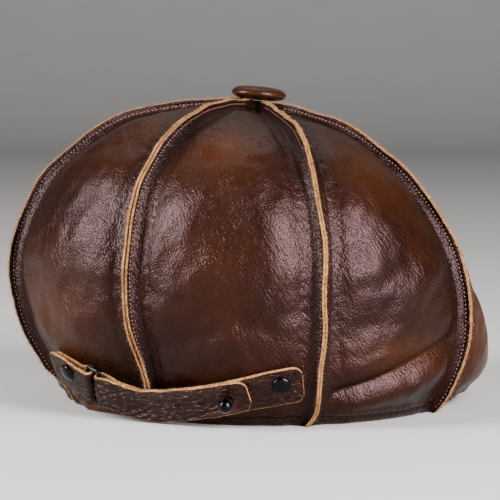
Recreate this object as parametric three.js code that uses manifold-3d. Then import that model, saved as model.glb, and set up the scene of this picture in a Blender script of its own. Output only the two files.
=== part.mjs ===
// A leather newsboy cap: eight gores with raw-edged standing seams, a covered button,
// a peak at the front, and an adjusting strap with a loop and a stud across the back.
// Millimetres, +Z up. The front of the cap looks along -Y and the wearer's right is -X.
import * as THREE from 'three';
import { mergeVertices } from 'three/addons/utils/BufferGeometryUtils.js';
import Module from 'manifold-3d';

const wasm = await Module();
wasm.setup();

// Driving sizes of the leather
const WALL = 1.6;
const PLAY = 0.3;
const SEAM_GAP = 0.3;
const HEM_THICK = 3.2;
const HEM_LEVEL = 7.5;
const HEM_STEP = 0.02;

// The crown stands on its rim, and its axis lies this far behind the origin
const AXIS_Y = 15.1;
const SEAMS = 8;
const SEAM_ANGLE = 360 / SEAMS;
const ACROSS = 8;

// Each seam from the button down to the rim, as [reach from the axis, height] of its base.
// fin is how far the two raw edges stand out, and puff how far the leather swells between seams.
const SEAM_COLUMNS = [
  'back', 'right_back', 'side', 'front_quarter', 'front', 'front_quarter', 'side', 'left_back',
];
const LEVELS = [
  { level: 'button', fin: 3.3, puff: 0.0, back: [8, 145.0], right_back: [8, 144.2],
    side: [8, 143.0], front_quarter: [8, 142.0], front: [8, 141.5], left_back: [8, 145.0] },
  { level: 'top', fin: 5.0, puff: 1.5, back: [36, 144.0], right_back: [36, 140.8],
    side: [34.5, 138.2], front_quarter: [33, 133.5], front: [33, 131.5], left_back: [36.5, 143.8] },
  { level: 'brow', fin: 5.5, puff: 3.0, back: [65, 138.4], right_back: [65.4, 135.6],
    side: [60.7, 126.7], front_quarter: [57.5, 119.0], front: [56, 115.0], left_back: [66.2, 137.8] },
  { level: 'shoulder', fin: 5.5, puff: 4.0, back: [90, 124.9], right_back: [91, 123.4],
    side: [82.9, 109.9], front_quarter: [74, 97.0], front: [73, 93.0], left_back: [91, 123.6] },
  { level: 'upper', fin: 5.5, puff: 4.0, back: [107.8, 106.9], right_back: [108.6, 105.0],
    side: [100, 89.6], front_quarter: [84.5, 71.5], front: [86, 71.0], left_back: [108.2, 104.8] },
  { level: 'waist', fin: 5.5, puff: 4.0, back: [116.4, 78.0], right_back: [118, 76.0],
    side: [111.1, 65.2], front_quarter: [93.5, 48.0], front: [97, 50.0], left_back: [119.6, 76.3] },
  { level: 'lower', fin: 5.5, puff: 4.0, back: [114.6, 50.2], right_back: [116.4, 49.0],
    side: [113, 42.0], front_quarter: [107.6, 30.0], front: [109.5, 40.0], left_back: [117.8, 48.7] },
  { level: 'tuck', fin: 4.2, puff: 2.4, back: [104.5, 26.0], right_back: [111.5, 21.0],
    side: [108.2, 19.2], front_quarter: [109.5, 15.5], front: [108, 24.0], left_back: [106, 22.5] },
  { level: 'rim', fin: 3.6, puff: 0.4, back: [92, 0], right_back: [98, 0],
    side: [97, 0], front_quarter: [97, 5.5], front: [98, 12.0], left_back: [92.5, 0] },
];
const RIM = LEVELS.length - 1;

// Where the peak is sewn on, and beside the tab, the raw edges are trimmed away
// between two levels, down to a low remainder
const TRIMS = [
  { seam: 3, from: 6.6, to: 8 },
  { seam: 4, from: 6.6, to: 8 },
  { seam: 5, from: 6.6, to: 8 },
  { seam: 7, from: 7.1, to: 7.5 },
];
const TRIMMED_FIN = 0.4;

// Stations of each gore, close together where the fold and the hem need it
const STATIONS = [
  0, 0.6, 1.3, 2, 2.6, 3.2, 3.9, 4.6, 5.3, 6, 6.3, 6.5, 6.7, 6.9, 7.1, 7.3,
  HEM_LEVEL, HEM_LEVEL + HEM_STEP, 7.75, RIM,
];

// Dents and folds. A fold runs across its gore from one level to another.
// Each number is in mm or in levels, and a negative depth is a swelling.
const FOLDS = [
  { fold: 'strap side crease', gore: 1, from: 7.25, to: 6.15, depth: 3.6, half: 0.26 },
  { fold: 'roll under the crease', gore: 1, from: 7.75, to: 6.75, depth: -1.4, half: 0.3 },
  { fold: 'ripple above the crease', gore: 1, from: 6.3, to: 5.0, depth: 1.1, half: 0.35 },
  { fold: 'front droop', gore: 2, from: 6.7, to: 6.9, depth: -1.6, half: 0.7 },
  { fold: 'left front droop', gore: 5, from: 6.9, to: 6.7, depth: -1.6, half: 0.7 },
];
const DENTS = [
  { dent: 'back gore hollow', gore: 0, across: 0.5, level: 5.0, depth: 1.6, wide: 0.22, tall: 1.2 },
  { dent: 'back gore pinch', gore: 0, across: 0.3, level: 6.2, depth: 1.0, wide: 0.16, tall: 0.5 },
  { dent: 'left gore hollow', gore: 7, across: 0.3, level: 5.6, depth: 1.4, wide: 0.2, tall: 0.8 },
  { dent: 'right gore hollow', gore: 1, across: 0.55, level: 3.6, depth: 1.2, wide: 0.2, tall: 0.8 },
];

// The peak: its outer edge from the middle (across 0) to each tip (across 1).
// reach is measured from its inner edge, and height is that of its underside.
const PEAK_HALF_SPAN = 46;
const PEAK_THICK = 3;
const PEAK_TUCK = 3.4;
const PEAK_STEPS = 24;
const PEAK_ROWS = 6;
const PEAK_EDGE = [
  { across: 0.0, reach: 58, height: 4.6 },
  { across: 0.3, reach: 54, height: 2.9 },
  { across: 0.55, reach: 39, height: 0.9 },
  { across: 0.8, reach: 20, height: 0.6 },
  { across: 1.0, reach: 6, height: 1.2 },
];

// The button, tipped towards the front and the wearer's right
const BUTTON_RADIUS = 13.5;
const BUTTON_THICK = 6.8;
const BUTTON_HEIGHT = 148.8;
const BUTTON_TIP_FRONT = 5;
const BUTTON_TIP_RIGHT = 3.5;
const BUTTON_BLUNT = 0.55;
const POST_RADIUS = 4.2;
const POST_WASHER_RADIUS = 12.5;
const POST_WASHER_THICK = 1.2;
const POST_DROP = 9.6;

// Straps: rows from end to end, as angle round the crown (towards the wearer's right),
// height of the centre line, lift of that line off the crown's plain curve, and width.
const STRAP_THICK = 1.7;
const END_CORNER = 5;
const TAB_FRONT = [
  { angle: -31.0, height: 22.2, lift: 6.3, width: 20.5 },
  { angle: -27.2, height: 20.7, lift: 6.8, width: 20.5 },
  { angle: -24.0, height: 19.2, lift: 7.4, width: 19.5 },
  { angle: -20.8, height: 17.4, lift: 8.1, width: 17.5 },
];
const TAB_BACK = [
  { angle: -20.8, height: 17.4, lift: 4.3, width: 17.5 },
  { angle: -24.0, height: 19.2, lift: 4.3, width: 19.5 },
  { angle: -27.2, height: 20.7, lift: 4.3, width: 20.5 },
  { angle: -31.0, height: 22.2, lift: 4.2, width: 20.5 },
];
const STRAP_FRONT = [
  { angle: 28.4, height: 17.7, lift: 8.3, width: 17 },
  { angle: 25.5, height: 16.3, lift: 9.1, width: 17 },
  { angle: 22.5, height: 15.0, lift: 9.3, width: 17 },
  { angle: 16.0, height: 12.3, lift: 8.6, width: 17 },
  { angle: 8.0, height: 9.9, lift: 7.7, width: 17 },
  { angle: 0.0, height: 8.7, lift: 7.3, width: 17 },
  { angle: -6.0, height: 10.4, lift: 7.9, width: 17 },
  { angle: -11.0, height: 12.8, lift: 8.5, width: 17 },
];
const STRAP_BACK = [
  { angle: -11.0, height: 12.8, lift: 4.0, width: 17 },
  { angle: -6.0, height: 10.4, lift: 4.9, width: 17 },
  { angle: 0.0, height: 8.7, lift: 5.3, width: 17 },
  { angle: 8.0, height: 9.9, lift: 5.6, width: 17 },
  { angle: 16.0, height: 12.3, lift: 6.4, width: 17 },
  { angle: 22.5, height: 15.0, lift: 7.1, width: 17 },
  { angle: 25.6, height: 16.3, lift: 7.1, width: 17 },
];
const STUD_STRAP = [
  { angle: 18.8, height: 13.4, lift: 4.7, width: 16.5 },
  { angle: 24.0, height: 15.4, lift: 5.0, width: 17 },
  { angle: 29.0, height: 17.8, lift: 4.5, width: 18 },
  { angle: 36.0, height: 20.8, lift: 3.8, width: 18.6 },
  { angle: 41.0, height: 22.2, lift: 3.4, width: 18.6 },
];

// The metal loop and where it sits
const LOOP = {
  angle: -15.9, height: 15.2, lift: 6.4, width: 9.2, tall: 23, bar: 1.8, thick: 1.6, slope: 17,
};
const FOLD_RADIUS = 2.3;
const FOLD_STEPS = 8;

// Rivets and the closing stud: where their axes cross the strap, and their sizes
const RIVET_RADIUS = 4.35;
const RIVET_DOME = 1.5;
const SHANK_RADIUS = 1.15;
const HOLE_RADIUS = 1.5;
const WASHER_RADIUS = 3.4;
const WASHER_THICK = 0.8;
const ANCHOR_RIVET = { angle: -23.2, height: 21.3, top: 9.0, bottom: 0.3 };
const STUD_RIVET = { angle: 35.9, height: 21.6, top: 5.1, bottom: -0.8 };
const CLOSING_STUD = { angle: 23.1, height: 13.4, top: 10.8, bottom: 3.5 };
const STUD_BALL_RADIUS = 3.3;
const STUD_BALL_HEIGHT = 5.6;
const ADJUSTING_HOLES = [
  { angle: 9.4, height: 9.8, top: 8.6 },
  { angle: 15.4, height: 11.6, top: 9.2 },
];
const ADJUSTING_HOLE_RADIUS = 1.0;
const CUTTER_LENGTH = 30;

const radians = (degrees) => (degrees * Math.PI) / 180;

// A smooth curve through b and c, with a and d beside them
function spline(a, b, c, d, f) {
  const linear = 2 * b + (c - a) * f;
  return 0.5 * (linear + (2 * a - 5 * b + 4 * c - d) * f * f + (3 * b - 3 * c + d - a) * f ** 3);
}

// The value at a level of a list that has one value for each level
function alongLevels(list, level) {
  const last = list.length - 1;
  const at = (i) => {
    if (i < 0) return 2 * list[0] - list[1];
    if (i > last) return 2 * list[last] - list[last - 1];
    return list[i];
  };
  const i = Math.min(Math.floor(level), last - 1);
  return spline(at(i - 1), at(i), at(i + 1), at(i + 2), level - i);
}

const column = (seam) => SEAM_COLUMNS[(seam + SEAMS) % SEAMS];
const reaches = SEAM_COLUMNS.map((name) => LEVELS.map((row) => row[name][0]));
const heights = SEAM_COLUMNS.map((name) => LEVELS.map((row) => row[name][1]));
const fins = LEVELS.map((row) => row.fin);
const puffs = LEVELS.map((row) => row.puff);

// Reach and height of the crown's plain curve, smooth through all the seams
function plainCurve(angle, level) {
  const place = angle / SEAM_ANGLE;
  const seam = Math.floor(place);
  const across = (lists) => {
    const four = [-1, 0, 1, 2].map((k) => alongLevels(lists[(seam + k + 2 * SEAMS) % SEAMS], level));
    return spline(...four, place - seam);
  };
  return { reach: across(reaches), height: Math.max(0, across(heights)) };
}

// The plain curve moved out by rise, square to the profile. The rim moves out level.
function profilePoint(angle, level, rise) {
  const { reach, height } = plainCurve(angle, level);
  if (level >= RIM) return { reach: reach + rise, height };
  const step = 0.001;
  const before = plainCurve(angle, Math.max(level - step, 0));
  const after = plainCurve(angle, level + step);
  const out = new THREE.Vector2(before.height - after.height, after.reach - before.reach).normalize();
  return { reach: reach + out.x * rise, height: height + out.y * rise };
}

// A point of the crown: beside moves it square to the upright plane at its angle
function crownPoint(angle, level, rise, beside = 0) {
  const { reach, height } = profilePoint(angle, level, rise);
  const sine = Math.sin(radians(angle));
  const cosine = Math.cos(radians(angle));
  return new THREE.Vector3(
    -sine * reach - cosine * beside,
    cosine * reach - sine * beside,
    height,
  );
}

// How far the leather of a gore stands off the plain curve
function swelling(gore, across, level) {
  const fromMiddle = Math.abs(2 * across - 1);
  let rise = alongLevels(puffs, level) * (1 - fromMiddle ** 2.6);
  const held = 1 - fromMiddle ** 6;
  for (const fold of FOLDS.filter((row) => row.gore === gore)) {
    const middle = fold.from + (fold.to - fold.from) * across;
    rise -= fold.depth * held * Math.exp(-(((level - middle) / fold.half) ** 2));
  }
  for (const dent of DENTS.filter((row) => row.gore === gore)) {
    const aside = (across - dent.across) / dent.wide;
    const along = (level - dent.level) / dent.tall;
    rise -= dent.depth * held * Math.exp(-(aside ** 2) - along ** 2);
  }
  return rise;
}

// How far the raw edges of a seam stand out
function finHeight(seam, level) {
  const full = alongLevels(fins, level);
  const trim = TRIMS.find((row) => row.seam === seam % SEAMS);
  if (!trim) return full;
  const share = THREE.MathUtils.clamp((level - trim.from) / (trim.to - trim.from), 0, 1);
  return THREE.MathUtils.lerp(full, TRIMMED_FIN, share);
}

// A closed sheet of leather between two grids of points
function thickSheet(front, back) {
  const rows = front.length;
  const columns = front[0].length;
  const positions = [...front.flat(), ...back.flat()].flatMap((point) => point.toArray());
  const half = rows * columns;
  const index = [];
  const quad = (a, b, c, d) => index.push(a, b, c, a, c, d);
  for (let i = 0; i < rows - 1; i += 1) {
    for (let j = 0; j < columns - 1; j += 1) {
      const a = i * columns + j;
      quad(a, a + 1, a + columns + 1, a + columns);
      quad(half + a, half + a + columns, half + a + columns + 1, half + a + 1);
    }
  }
  const border = [];
  for (let j = 0; j < columns - 1; j += 1) border.push(j);
  for (let i = 0; i < rows - 1; i += 1) border.push(i * columns + columns - 1);
  for (let j = columns - 1; j > 0; j -= 1) border.push((rows - 1) * columns + j);
  for (let i = rows - 1; i > 0; i -= 1) border.push(i * columns);
  border.forEach((a, k) => {
    const b = border[(k + 1) % border.length];
    quad(a, half + a, half + b, b);
  });
  const geometry = new THREE.BufferGeometry();
  geometry.setAttribute('position', new THREE.Float32BufferAttribute(positions, 3));
  geometry.setIndex(index);
  return facingOut(geometry);
}

// Turns the faces over where they enclose a negative volume
function facingOut(geometry) {
  const position = geometry.getAttribute('position');
  const index = geometry.getIndex().array;
  const corner = (k) => new THREE.Vector3().fromBufferAttribute(position, index[k]);
  let volume = 0;
  for (let k = 0; k < index.length; k += 3) {
    volume += corner(k).dot(corner(k + 1).cross(corner(k + 2)));
  }
  if (volume < 0) {
    for (let k = 0; k < index.length; k += 3) [index[k], index[k + 1]] = [index[k + 1], index[k]];
  }
  return geometry;
}

function toSolid(geometry) {
  const plain = geometry.clone();
  plain.deleteAttribute('normal');
  plain.deleteAttribute('uv');
  const merged = mergeVertices(plain);
  return new wasm.Manifold(new wasm.Mesh({
    numProp: 3,
    vertProperties: new Float32Array(merged.getAttribute('position').array),
    triVerts: new Uint32Array(merged.getIndex().array),
  }));
}

function toGeometry(solid) {
  const mesh = solid.getMesh();
  const geometry = new THREE.BufferGeometry();
  geometry.setAttribute('position', new THREE.BufferAttribute(new Float32Array(mesh.vertProperties), 3));
  geometry.setIndex(new THREE.BufferAttribute(new Uint32Array(mesh.triVerts), 1));
  return geometry;
}

// Round holes through a piece, square to the crown at each place
function drilled(geometry, places, radius) {
  let solid = toSolid(geometry);
  for (const place of places) {
    const cutter = new THREE.CylinderGeometry(radius, radius, CUTTER_LENGTH, 12);
    cutter.rotateX(Math.PI / 2);
    cutter.applyMatrix4(metalSeat(place));
    solid = solid.subtract(toSolid(cutter));
  }
  return toGeometry(solid);
}

// The seat of a rivet, stud or hole: top is how far off the plain curve it starts
const metalSeat = (place) => seat(place.angle, place.height, place.top);

// The level at which the plain curve passes a height, low on the crown
function levelAt(angle, height) {
  let high = 5;
  let low = RIM;
  for (let k = 0; k < 30; k += 1) {
    const middle = (high + low) / 2;
    if (plainCurve(angle, middle).height > height) high = middle;
    else low = middle;
  }
  return (high + low) / 2;
}

// A frame on the crown's lower wall: x runs round it, y up it and z out of it
function seat(angle, height, lift) {
  const span = 4;
  const above = plainCurve(angle, levelAt(angle, height + span));
  const below = plainCurve(angle, levelAt(angle, Math.max(height - span, 0.01)));
  const lean = Math.atan2(above.reach - below.reach, above.height - below.height);
  const outward = new THREE.Vector3(-Math.sin(radians(angle)), Math.cos(radians(angle)), 0);
  const round = new THREE.Vector3(-Math.cos(radians(angle)), -Math.sin(radians(angle)), 0);
  const up = outward.clone().multiplyScalar(Math.sin(lean)).setZ(Math.cos(lean));
  const out = new THREE.Vector3().crossVectors(round, up);
  const { reach } = plainCurve(angle, levelAt(angle, height));
  const centre = outward.multiplyScalar(reach + lift / Math.cos(lean)).setZ(height);
  return new THREE.Matrix4().makeBasis(round, up, out).setPosition(centre);
}

// A smooth row between the rows of a strap's table
function strapRow(rows, place) {
  const i = Math.min(Math.floor(place), rows.length - 2);
  const at = (k) => rows[THREE.MathUtils.clamp(k, 0, rows.length - 1)];
  const mix = (name) => {
    const four = [i - 1, i, i + 1, i + 2].map((k) => at(k)[name]);
    return spline(...four, place - i);
  };
  return { angle: mix('angle'), height: mix('height'), lift: mix('lift'), width: mix('width') };
}

function strapRows(rows, parts) {
  const list = [];
  for (let k = 0; k <= (rows.length - 1) * parts; k += 1) list.push(strapRow(rows, k / parts));
  return list;
}

// The loop's own frame: x runs along the strap, y along the bars
function loopFrame() {
  const tilt = new THREE.Matrix4().makeRotationZ(-radians(LOOP.slope));
  return seat(LOOP.angle, LOOP.height, LOOP.lift).multiply(tilt);
}

// A row's place on the crown, as a centre, a direction up the strap, and its width
function station(row) {
  const frame = seat(row.angle, row.height, row.lift);
  return {
    centre: new THREE.Vector3().setFromMatrixPosition(frame),
    up: new THREE.Vector3().setFromMatrixColumn(frame, 1),
    width: row.width,
  };
}

// The turn of a strap round one bar of the loop. side is -1 for the left bar, 1 for the right.
function turnStations(side, width) {
  const frame = loopFrame();
  const bar = (LOOP.width - LOOP.bar) / 2;
  const stations = [];
  for (let k = 0; k <= FOLD_STEPS; k += 1) {
    const turn = (Math.PI * k) / FOLD_STEPS;
    const aside = side * (bar - FOLD_RADIUS * Math.sin(turn));
    stations.push({
      centre: new THREE.Vector3(aside, 0, FOLD_RADIUS * Math.cos(turn)).applyMatrix4(frame),
      up: new THREE.Vector3().setFromMatrixColumn(frame, 1),
      width,
    });
  }
  return stations;
}

// A flat strap along its stations. A free end is narrowed to round its corners.
function strapGeometry(stations, roundStart, roundEnd) {
  const last = stations.length - 1;
  const lengths = [0];
  for (let k = 1; k <= last; k += 1) {
    lengths.push(lengths[k - 1] + stations[k].centre.distanceTo(stations[k - 1].centre));
  }
  const front = [];
  const back = [];
  stations.forEach(({ centre, up, width }, k) => {
    const ahead = stations[Math.min(k + 1, last)].centre;
    const behind = stations[Math.max(k - 1, 0)].centre;
    const along = ahead.clone().sub(behind).normalize();
    const across = up.clone().addScaledVector(along, -up.dot(along)).normalize();
    const out = new THREE.Vector3().crossVectors(along, across);
    const fromStart = roundStart ? lengths[k] : Infinity;
    const fromEnd = roundEnd ? lengths[last] - lengths[k] : Infinity;
    const short = Math.max(END_CORNER - Math.min(fromStart, fromEnd), 0);
    const half = width / 2 - (END_CORNER - Math.sqrt(END_CORNER ** 2 - short ** 2));
    const line = (side) => [-half, half].map((beside) => centre.clone()
      .addScaledVector(across, beside).addScaledVector(out, (side * STRAP_THICK) / 2));
    front.push(line(1));
    back.push(line(-1));
  });
  return thickSheet(front, back);
}

// Extra rows near a free end, so that its corners come out round
function withRoundEnd(rows, atStart) {
  const end = atStart ? rows[0] : rows[rows.length - 1];
  const next = atStart ? rows[1] : rows[rows.length - 2];
  const reach = plainCurve(end.angle, levelAt(end.angle, end.height)).reach;
  const spacing = Math.abs(radians(end.angle - next.angle)) * reach;
  const extra = [0.12, 0.35, 0.65].map((share) => (share * END_CORNER) / spacing);
  const between = extra.filter((share) => share < 1).map((share) => ({
    angle: THREE.MathUtils.lerp(end.angle, next.angle, share),
    height: THREE.MathUtils.lerp(end.height, next.height, share),
    lift: THREE.MathUtils.lerp(end.lift, next.lift, share),
    width: THREE.MathUtils.lerp(end.width, next.width, share),
  }));
  if (atStart) return [rows[0], ...between, ...rows.slice(1)];
  return [...rows.slice(0, -1), ...between.reverse(), rows[rows.length - 1]];
}

// One gore with its turned-out seam edges and its turned-in hem
function goreGeometry(gore) {
  const start = gore * SEAM_ANGLE;
  const end = start + SEAM_ANGLE;
  const inside = SEAM_GAP / 2;
  const outside = inside + WALL;
  const front = [];
  const back = [];
  for (const level of STATIONS) {
    const startFin = finHeight(gore, level);
    const endFin = finHeight(gore + 1, level);
    const wall = level > HEM_LEVEL ? HEM_THICK : WALL;
    const margin = (angle) => {
      const reach = plainCurve(angle, level).reach;
      return (Math.asin(outside / reach) * 180) / Math.PI;
    };
    const first = start + margin(start);
    const last = end - margin(end);
    const outer = [];
    const inner = [];
    for (let j = 0; j <= ACROSS; j += 1) {
      const across = j / ACROSS;
      const angle = first + (last - first) * across;
      const rise = swelling(gore, across, level);
      outer.push(crownPoint(angle, level, rise));
      inner.push(crownPoint(angle, level, rise - wall));
    }
    inner[0] = crownPoint(start, level, -wall, inside);
    inner[ACROSS] = crownPoint(end, level, -wall, -inside);
    front.push([
      crownPoint(start, level, startFin, outside), ...outer, crownPoint(end, level, endFin, -outside),
    ]);
    back.push([
      crownPoint(start, level, startFin, inside), ...inner, crownPoint(end, level, endFin, -inside),
    ]);
  }
  return thickSheet(front, back);
}

// The peak: its inner edge lies under the hem, and its outer edge follows the table
function peakGeometry() {
  const table = (name, across) => {
    const rows = PEAK_EDGE;
    let i = 0;
    while (i < rows.length - 2 && rows[i + 1].across < across) i += 1;
    const share = (across - rows[i].across) / (rows[i + 1].across - rows[i].across);
    const at = (k) => (k < 0 ? rows[1] : rows[Math.min(k, rows.length - 1)])[name];
    return spline(at(i - 1), at(i), at(i + 1), at(i + 2), share);
  };
  const top = [];
  const bottom = [];
  for (let k = 0; k <= PEAK_STEPS; k += 1) {
    const across = (2 * k) / PEAK_STEPS - 1;
    const angle = 180 + across * PEAK_HALF_SPAN;
    const rim = plainCurve(angle, RIM);
    const reach = table('reach', Math.abs(across));
    const edge = table('height', Math.abs(across));
    const start = rim.height - PLAY - PEAK_THICK;
    const line = [];
    for (let m = 0; m < PEAK_ROWS; m += 1) {
      const out = m / (PEAK_ROWS - 1);
      const distance = rim.reach - PEAK_TUCK + reach * out;
      const height = THREE.MathUtils.lerp(start, edge, out);
      line.push(new THREE.Vector3(
        -Math.sin(radians(angle)) * distance,
        Math.cos(radians(angle)) * distance,
        height,
      ));
    }
    bottom.push(line);
    top.push(line.map((point) => point.clone().setZ(point.z + PEAK_THICK)));
  }
  return thickSheet(top, bottom);
}

// A piece turned round its own z axis, from [radius, height] pairs that start and end on it
function turned(pairs, sides) {
  const points = pairs.map(([radius, height]) => new THREE.Vector2(radius, height));
  return new THREE.LatheGeometry(points, sides).rotateX(Math.PI / 2);
}

// Pairs along a quarter or half of an ellipse, between two angles in degrees
function dome(radius, height, base, from, to, steps) {
  const pairs = [];
  for (let k = 0; k <= steps; k += 1) {
    const turn = radians(from + ((to - from) * k) / steps);
    pairs.push([Math.max(radius * Math.cos(turn), 0), base + height * Math.sin(turn)]);
  }
  return pairs;
}

// The button's edge is blunt: its radius falls off more slowly than a round dome's
function buttonGeometry() {
  const edge = BUTTON_THICK * 0.44;
  const round = [
    ...dome(1, edge, edge, -80, -15, 4),
    ...dome(1, BUTTON_THICK - edge, edge, 0, 90, 7),
  ];
  const blunt = round.map(([share, height]) => [BUTTON_RADIUS * share ** BUTTON_BLUNT, height]);
  return turned([[0, 0], ...blunt], 28);
}

function buttonPostGeometry() {
  const washerTop = -POST_DROP;
  return turned([
    [0, washerTop - POST_WASHER_THICK], [POST_WASHER_RADIUS, washerTop - POST_WASHER_THICK],
    [POST_WASHER_RADIUS, washerTop], [POST_RADIUS, washerTop], [POST_RADIUS, -PLAY], [0, -PLAY],
  ], 24);
}

// A rivet: washer inside the crown, shank, and a domed cap that starts at the seat
function rivetGeometry(place) {
  const drop = place.bottom - place.top;
  return turned([
    [0, drop - WASHER_THICK], [WASHER_RADIUS, drop - WASHER_THICK], [WASHER_RADIUS, drop],
    [SHANK_RADIUS, drop], [SHANK_RADIUS, 0], [RIVET_RADIUS - 0.3, 0],
    ...dome(RIVET_RADIUS, RIVET_DOME, 0.35, 0, 90, 5),
  ], 20);
}

function closingStudGeometry(place) {
  const drop = place.bottom - place.top;
  const half = STUD_BALL_HEIGHT / 2;
  return turned([
    [0, drop - WASHER_THICK], [WASHER_RADIUS, drop - WASHER_THICK], [WASHER_RADIUS, drop],
    [SHANK_RADIUS, drop],
    ...dome(STUD_BALL_RADIUS, half, half, -68, 90, 9),
  ], 18);
}

function loopGeometry() {
  const halfWidth = LOOP.width / 2;
  const halfTall = LOOP.tall / 2;
  const corner = 2;
  const outline = (shape, x, y, r) => {
    shape.moveTo(-x + r, -y);
    shape.lineTo(x - r, -y);
    shape.absarc(x - r, -y + r, r, -Math.PI / 2, 0);
    shape.lineTo(x, y - r);
    shape.absarc(x - r, y - r, r, 0, Math.PI / 2);
    shape.lineTo(-x + r, y);
    shape.absarc(-x + r, y - r, r, Math.PI / 2, Math.PI);
    shape.lineTo(-x, -y + r);
    shape.absarc(-x + r, -y + r, r, Math.PI, 1.5 * Math.PI);
    return shape;
  };
  const shape = outline(new THREE.Shape(), halfWidth, halfTall, corner);
  const hole = outline(new THREE.Path(), halfWidth - LOOP.bar, halfTall - LOOP.bar, corner / 4);
  shape.holes.push(hole);
  const geometry = new THREE.ExtrudeGeometry(shape, {
    depth: LOOP.thick, bevelEnabled: false, curveSegments: 4,
  });
  return geometry.translate(0, 0, -LOOP.thick / 2);
}

// Finishes, as colour, roughness and metalness
const finish = (color, roughness, metalness) => new THREE.MeshStandardMaterial({ color, roughness, metalness });
const crownLeather = () => finish(0x5a2f1a, 0.4, 0);
const strapLeather = () => finish(0x4a2617, 0.45, 0);
const peakLeather = () => finish(0x56301c, 0.42, 0);
const buttonLeather = () => finish(0x6b3a20, 0.38, 0);
const blackMetal = () => finish(0x1b1c1f, 0.25, 1);
const plainBrass = () => finish(0x8a7a55, 0.4, 1);

const cap = new THREE.Group();
cap.position.set(0, AXIS_Y, 0);

function add(name, geometry, material, matrix) {
  const mesh = new THREE.Mesh(geometry, material);
  mesh.name = name;
  if (matrix) matrix.decompose(mesh.position, mesh.quaternion, mesh.scale);
  cap.add(mesh);
  return mesh;
}

// The crown. Two gores are drilled for the rivets.
const drilledGores = { 0: [STUD_RIVET], 7: [ANCHOR_RIVET] };
for (let gore = 0; gore < SEAMS; gore += 1) {
  const geometry = goreGeometry(gore);
  const holes = drilledGores[gore];
  add(`crown_panel_${gore}`, holes ? drilled(geometry, holes, HOLE_RADIUS) : geometry, crownLeather());
}
add('peak', peakGeometry(), peakLeather());

// The button and its post share one tipped seat
const tip = new THREE.Matrix4().makeRotationFromEuler(
  new THREE.Euler(radians(BUTTON_TIP_FRONT), -radians(BUTTON_TIP_RIGHT), 0),
).setPosition(0, 0, BUTTON_HEIGHT);
add('top_button', buttonGeometry(), buttonLeather(), tip);
add('button_post', buttonPostGeometry(), plainBrass(), tip);

// A folded strap runs from its front end, round a bar of the loop, to its back end
function foldedStrap(frontRows, backRows, side) {
  const near = frontRows[frontRows.length - 1];
  const stations = [
    ...withRoundEnd(strapRows(frontRows, 2), true).map(station),
    ...turnStations(side, near.width),
    ...withRoundEnd(strapRows(backRows, 2), false).map(station),
  ];
  return strapGeometry(stations, true, true);
}

const tab = foldedStrap(TAB_FRONT, TAB_BACK, -1);
add('anchor_tab', drilled(tab, [ANCHOR_RIVET], HOLE_RADIUS), strapLeather());

const heldStrap = drilled(foldedStrap(STRAP_FRONT, STRAP_BACK, 1), [CLOSING_STUD], HOLE_RADIUS);
add('back_strap', drilled(heldStrap, ADJUSTING_HOLES, ADJUSTING_HOLE_RADIUS), strapLeather());

const studRows = withRoundEnd(strapRows(STUD_STRAP, 2), false).map(station);
const studStrap = strapGeometry(studRows, false, true);
add('stud_strap', drilled(studStrap, [CLOSING_STUD, STUD_RIVET], HOLE_RADIUS), strapLeather());

add('strap_loop', loopGeometry(), blackMetal(), loopFrame());
add('anchor_rivet', rivetGeometry(ANCHOR_RIVET), blackMetal(), metalSeat(ANCHOR_RIVET));
add('stud_rivet', rivetGeometry(STUD_RIVET), blackMetal(), metalSeat(STUD_RIVET));
add('closing_stud', closingStudGeometry(CLOSING_STUD), blackMetal(), metalSeat(CLOSING_STUD));

export default cap;
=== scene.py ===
# %% [markdown]
# # A leather newsboy cap
# This lesson builds the looks of one leather cap round a fixed frame. The frame is a set of
# plain solids with the cap's real sizes. We load it first, because every
# piece that we model has to stay where the frame says.

# %% Load the frame
import math

import bmesh
import bpy
import numpy as np
from mathutils import Matrix, Vector


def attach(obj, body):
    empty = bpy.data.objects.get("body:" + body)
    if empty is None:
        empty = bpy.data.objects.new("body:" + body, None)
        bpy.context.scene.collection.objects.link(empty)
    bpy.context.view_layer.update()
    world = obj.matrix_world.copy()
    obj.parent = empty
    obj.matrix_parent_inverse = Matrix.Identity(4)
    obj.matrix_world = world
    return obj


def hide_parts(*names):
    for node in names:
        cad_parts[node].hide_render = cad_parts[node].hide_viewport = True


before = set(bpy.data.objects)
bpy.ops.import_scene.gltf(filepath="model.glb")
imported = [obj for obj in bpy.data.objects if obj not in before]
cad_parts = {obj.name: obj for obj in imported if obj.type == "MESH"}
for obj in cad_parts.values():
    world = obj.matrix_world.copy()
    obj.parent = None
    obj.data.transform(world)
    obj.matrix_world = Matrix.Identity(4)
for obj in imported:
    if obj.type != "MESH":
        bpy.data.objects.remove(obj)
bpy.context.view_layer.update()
MM = 0.001

# %% [markdown]
# ## The camera
# The cap is seen from behind and a little from its right, from far away through a long lens,
# so that its lines hardly converge. We write down where the camera stands as real lengths and
# angles round the crown's axis, and turn them into a matrix: the camera looks along its own -Z.

# %% Camera
AXIS_Y = 15.1
CAMERA_AWAY = 1500.0
CAMERA_HEIGHT = 213.8
CAMERA_ROUND = 30.53
CAMERA_TURN = -0.156
CAMERA_NOD = -5.326
FOCAL_PIXELS = 3017.0
IMAGE_PIXELS = 500
SENSOR = 36.0


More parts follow.
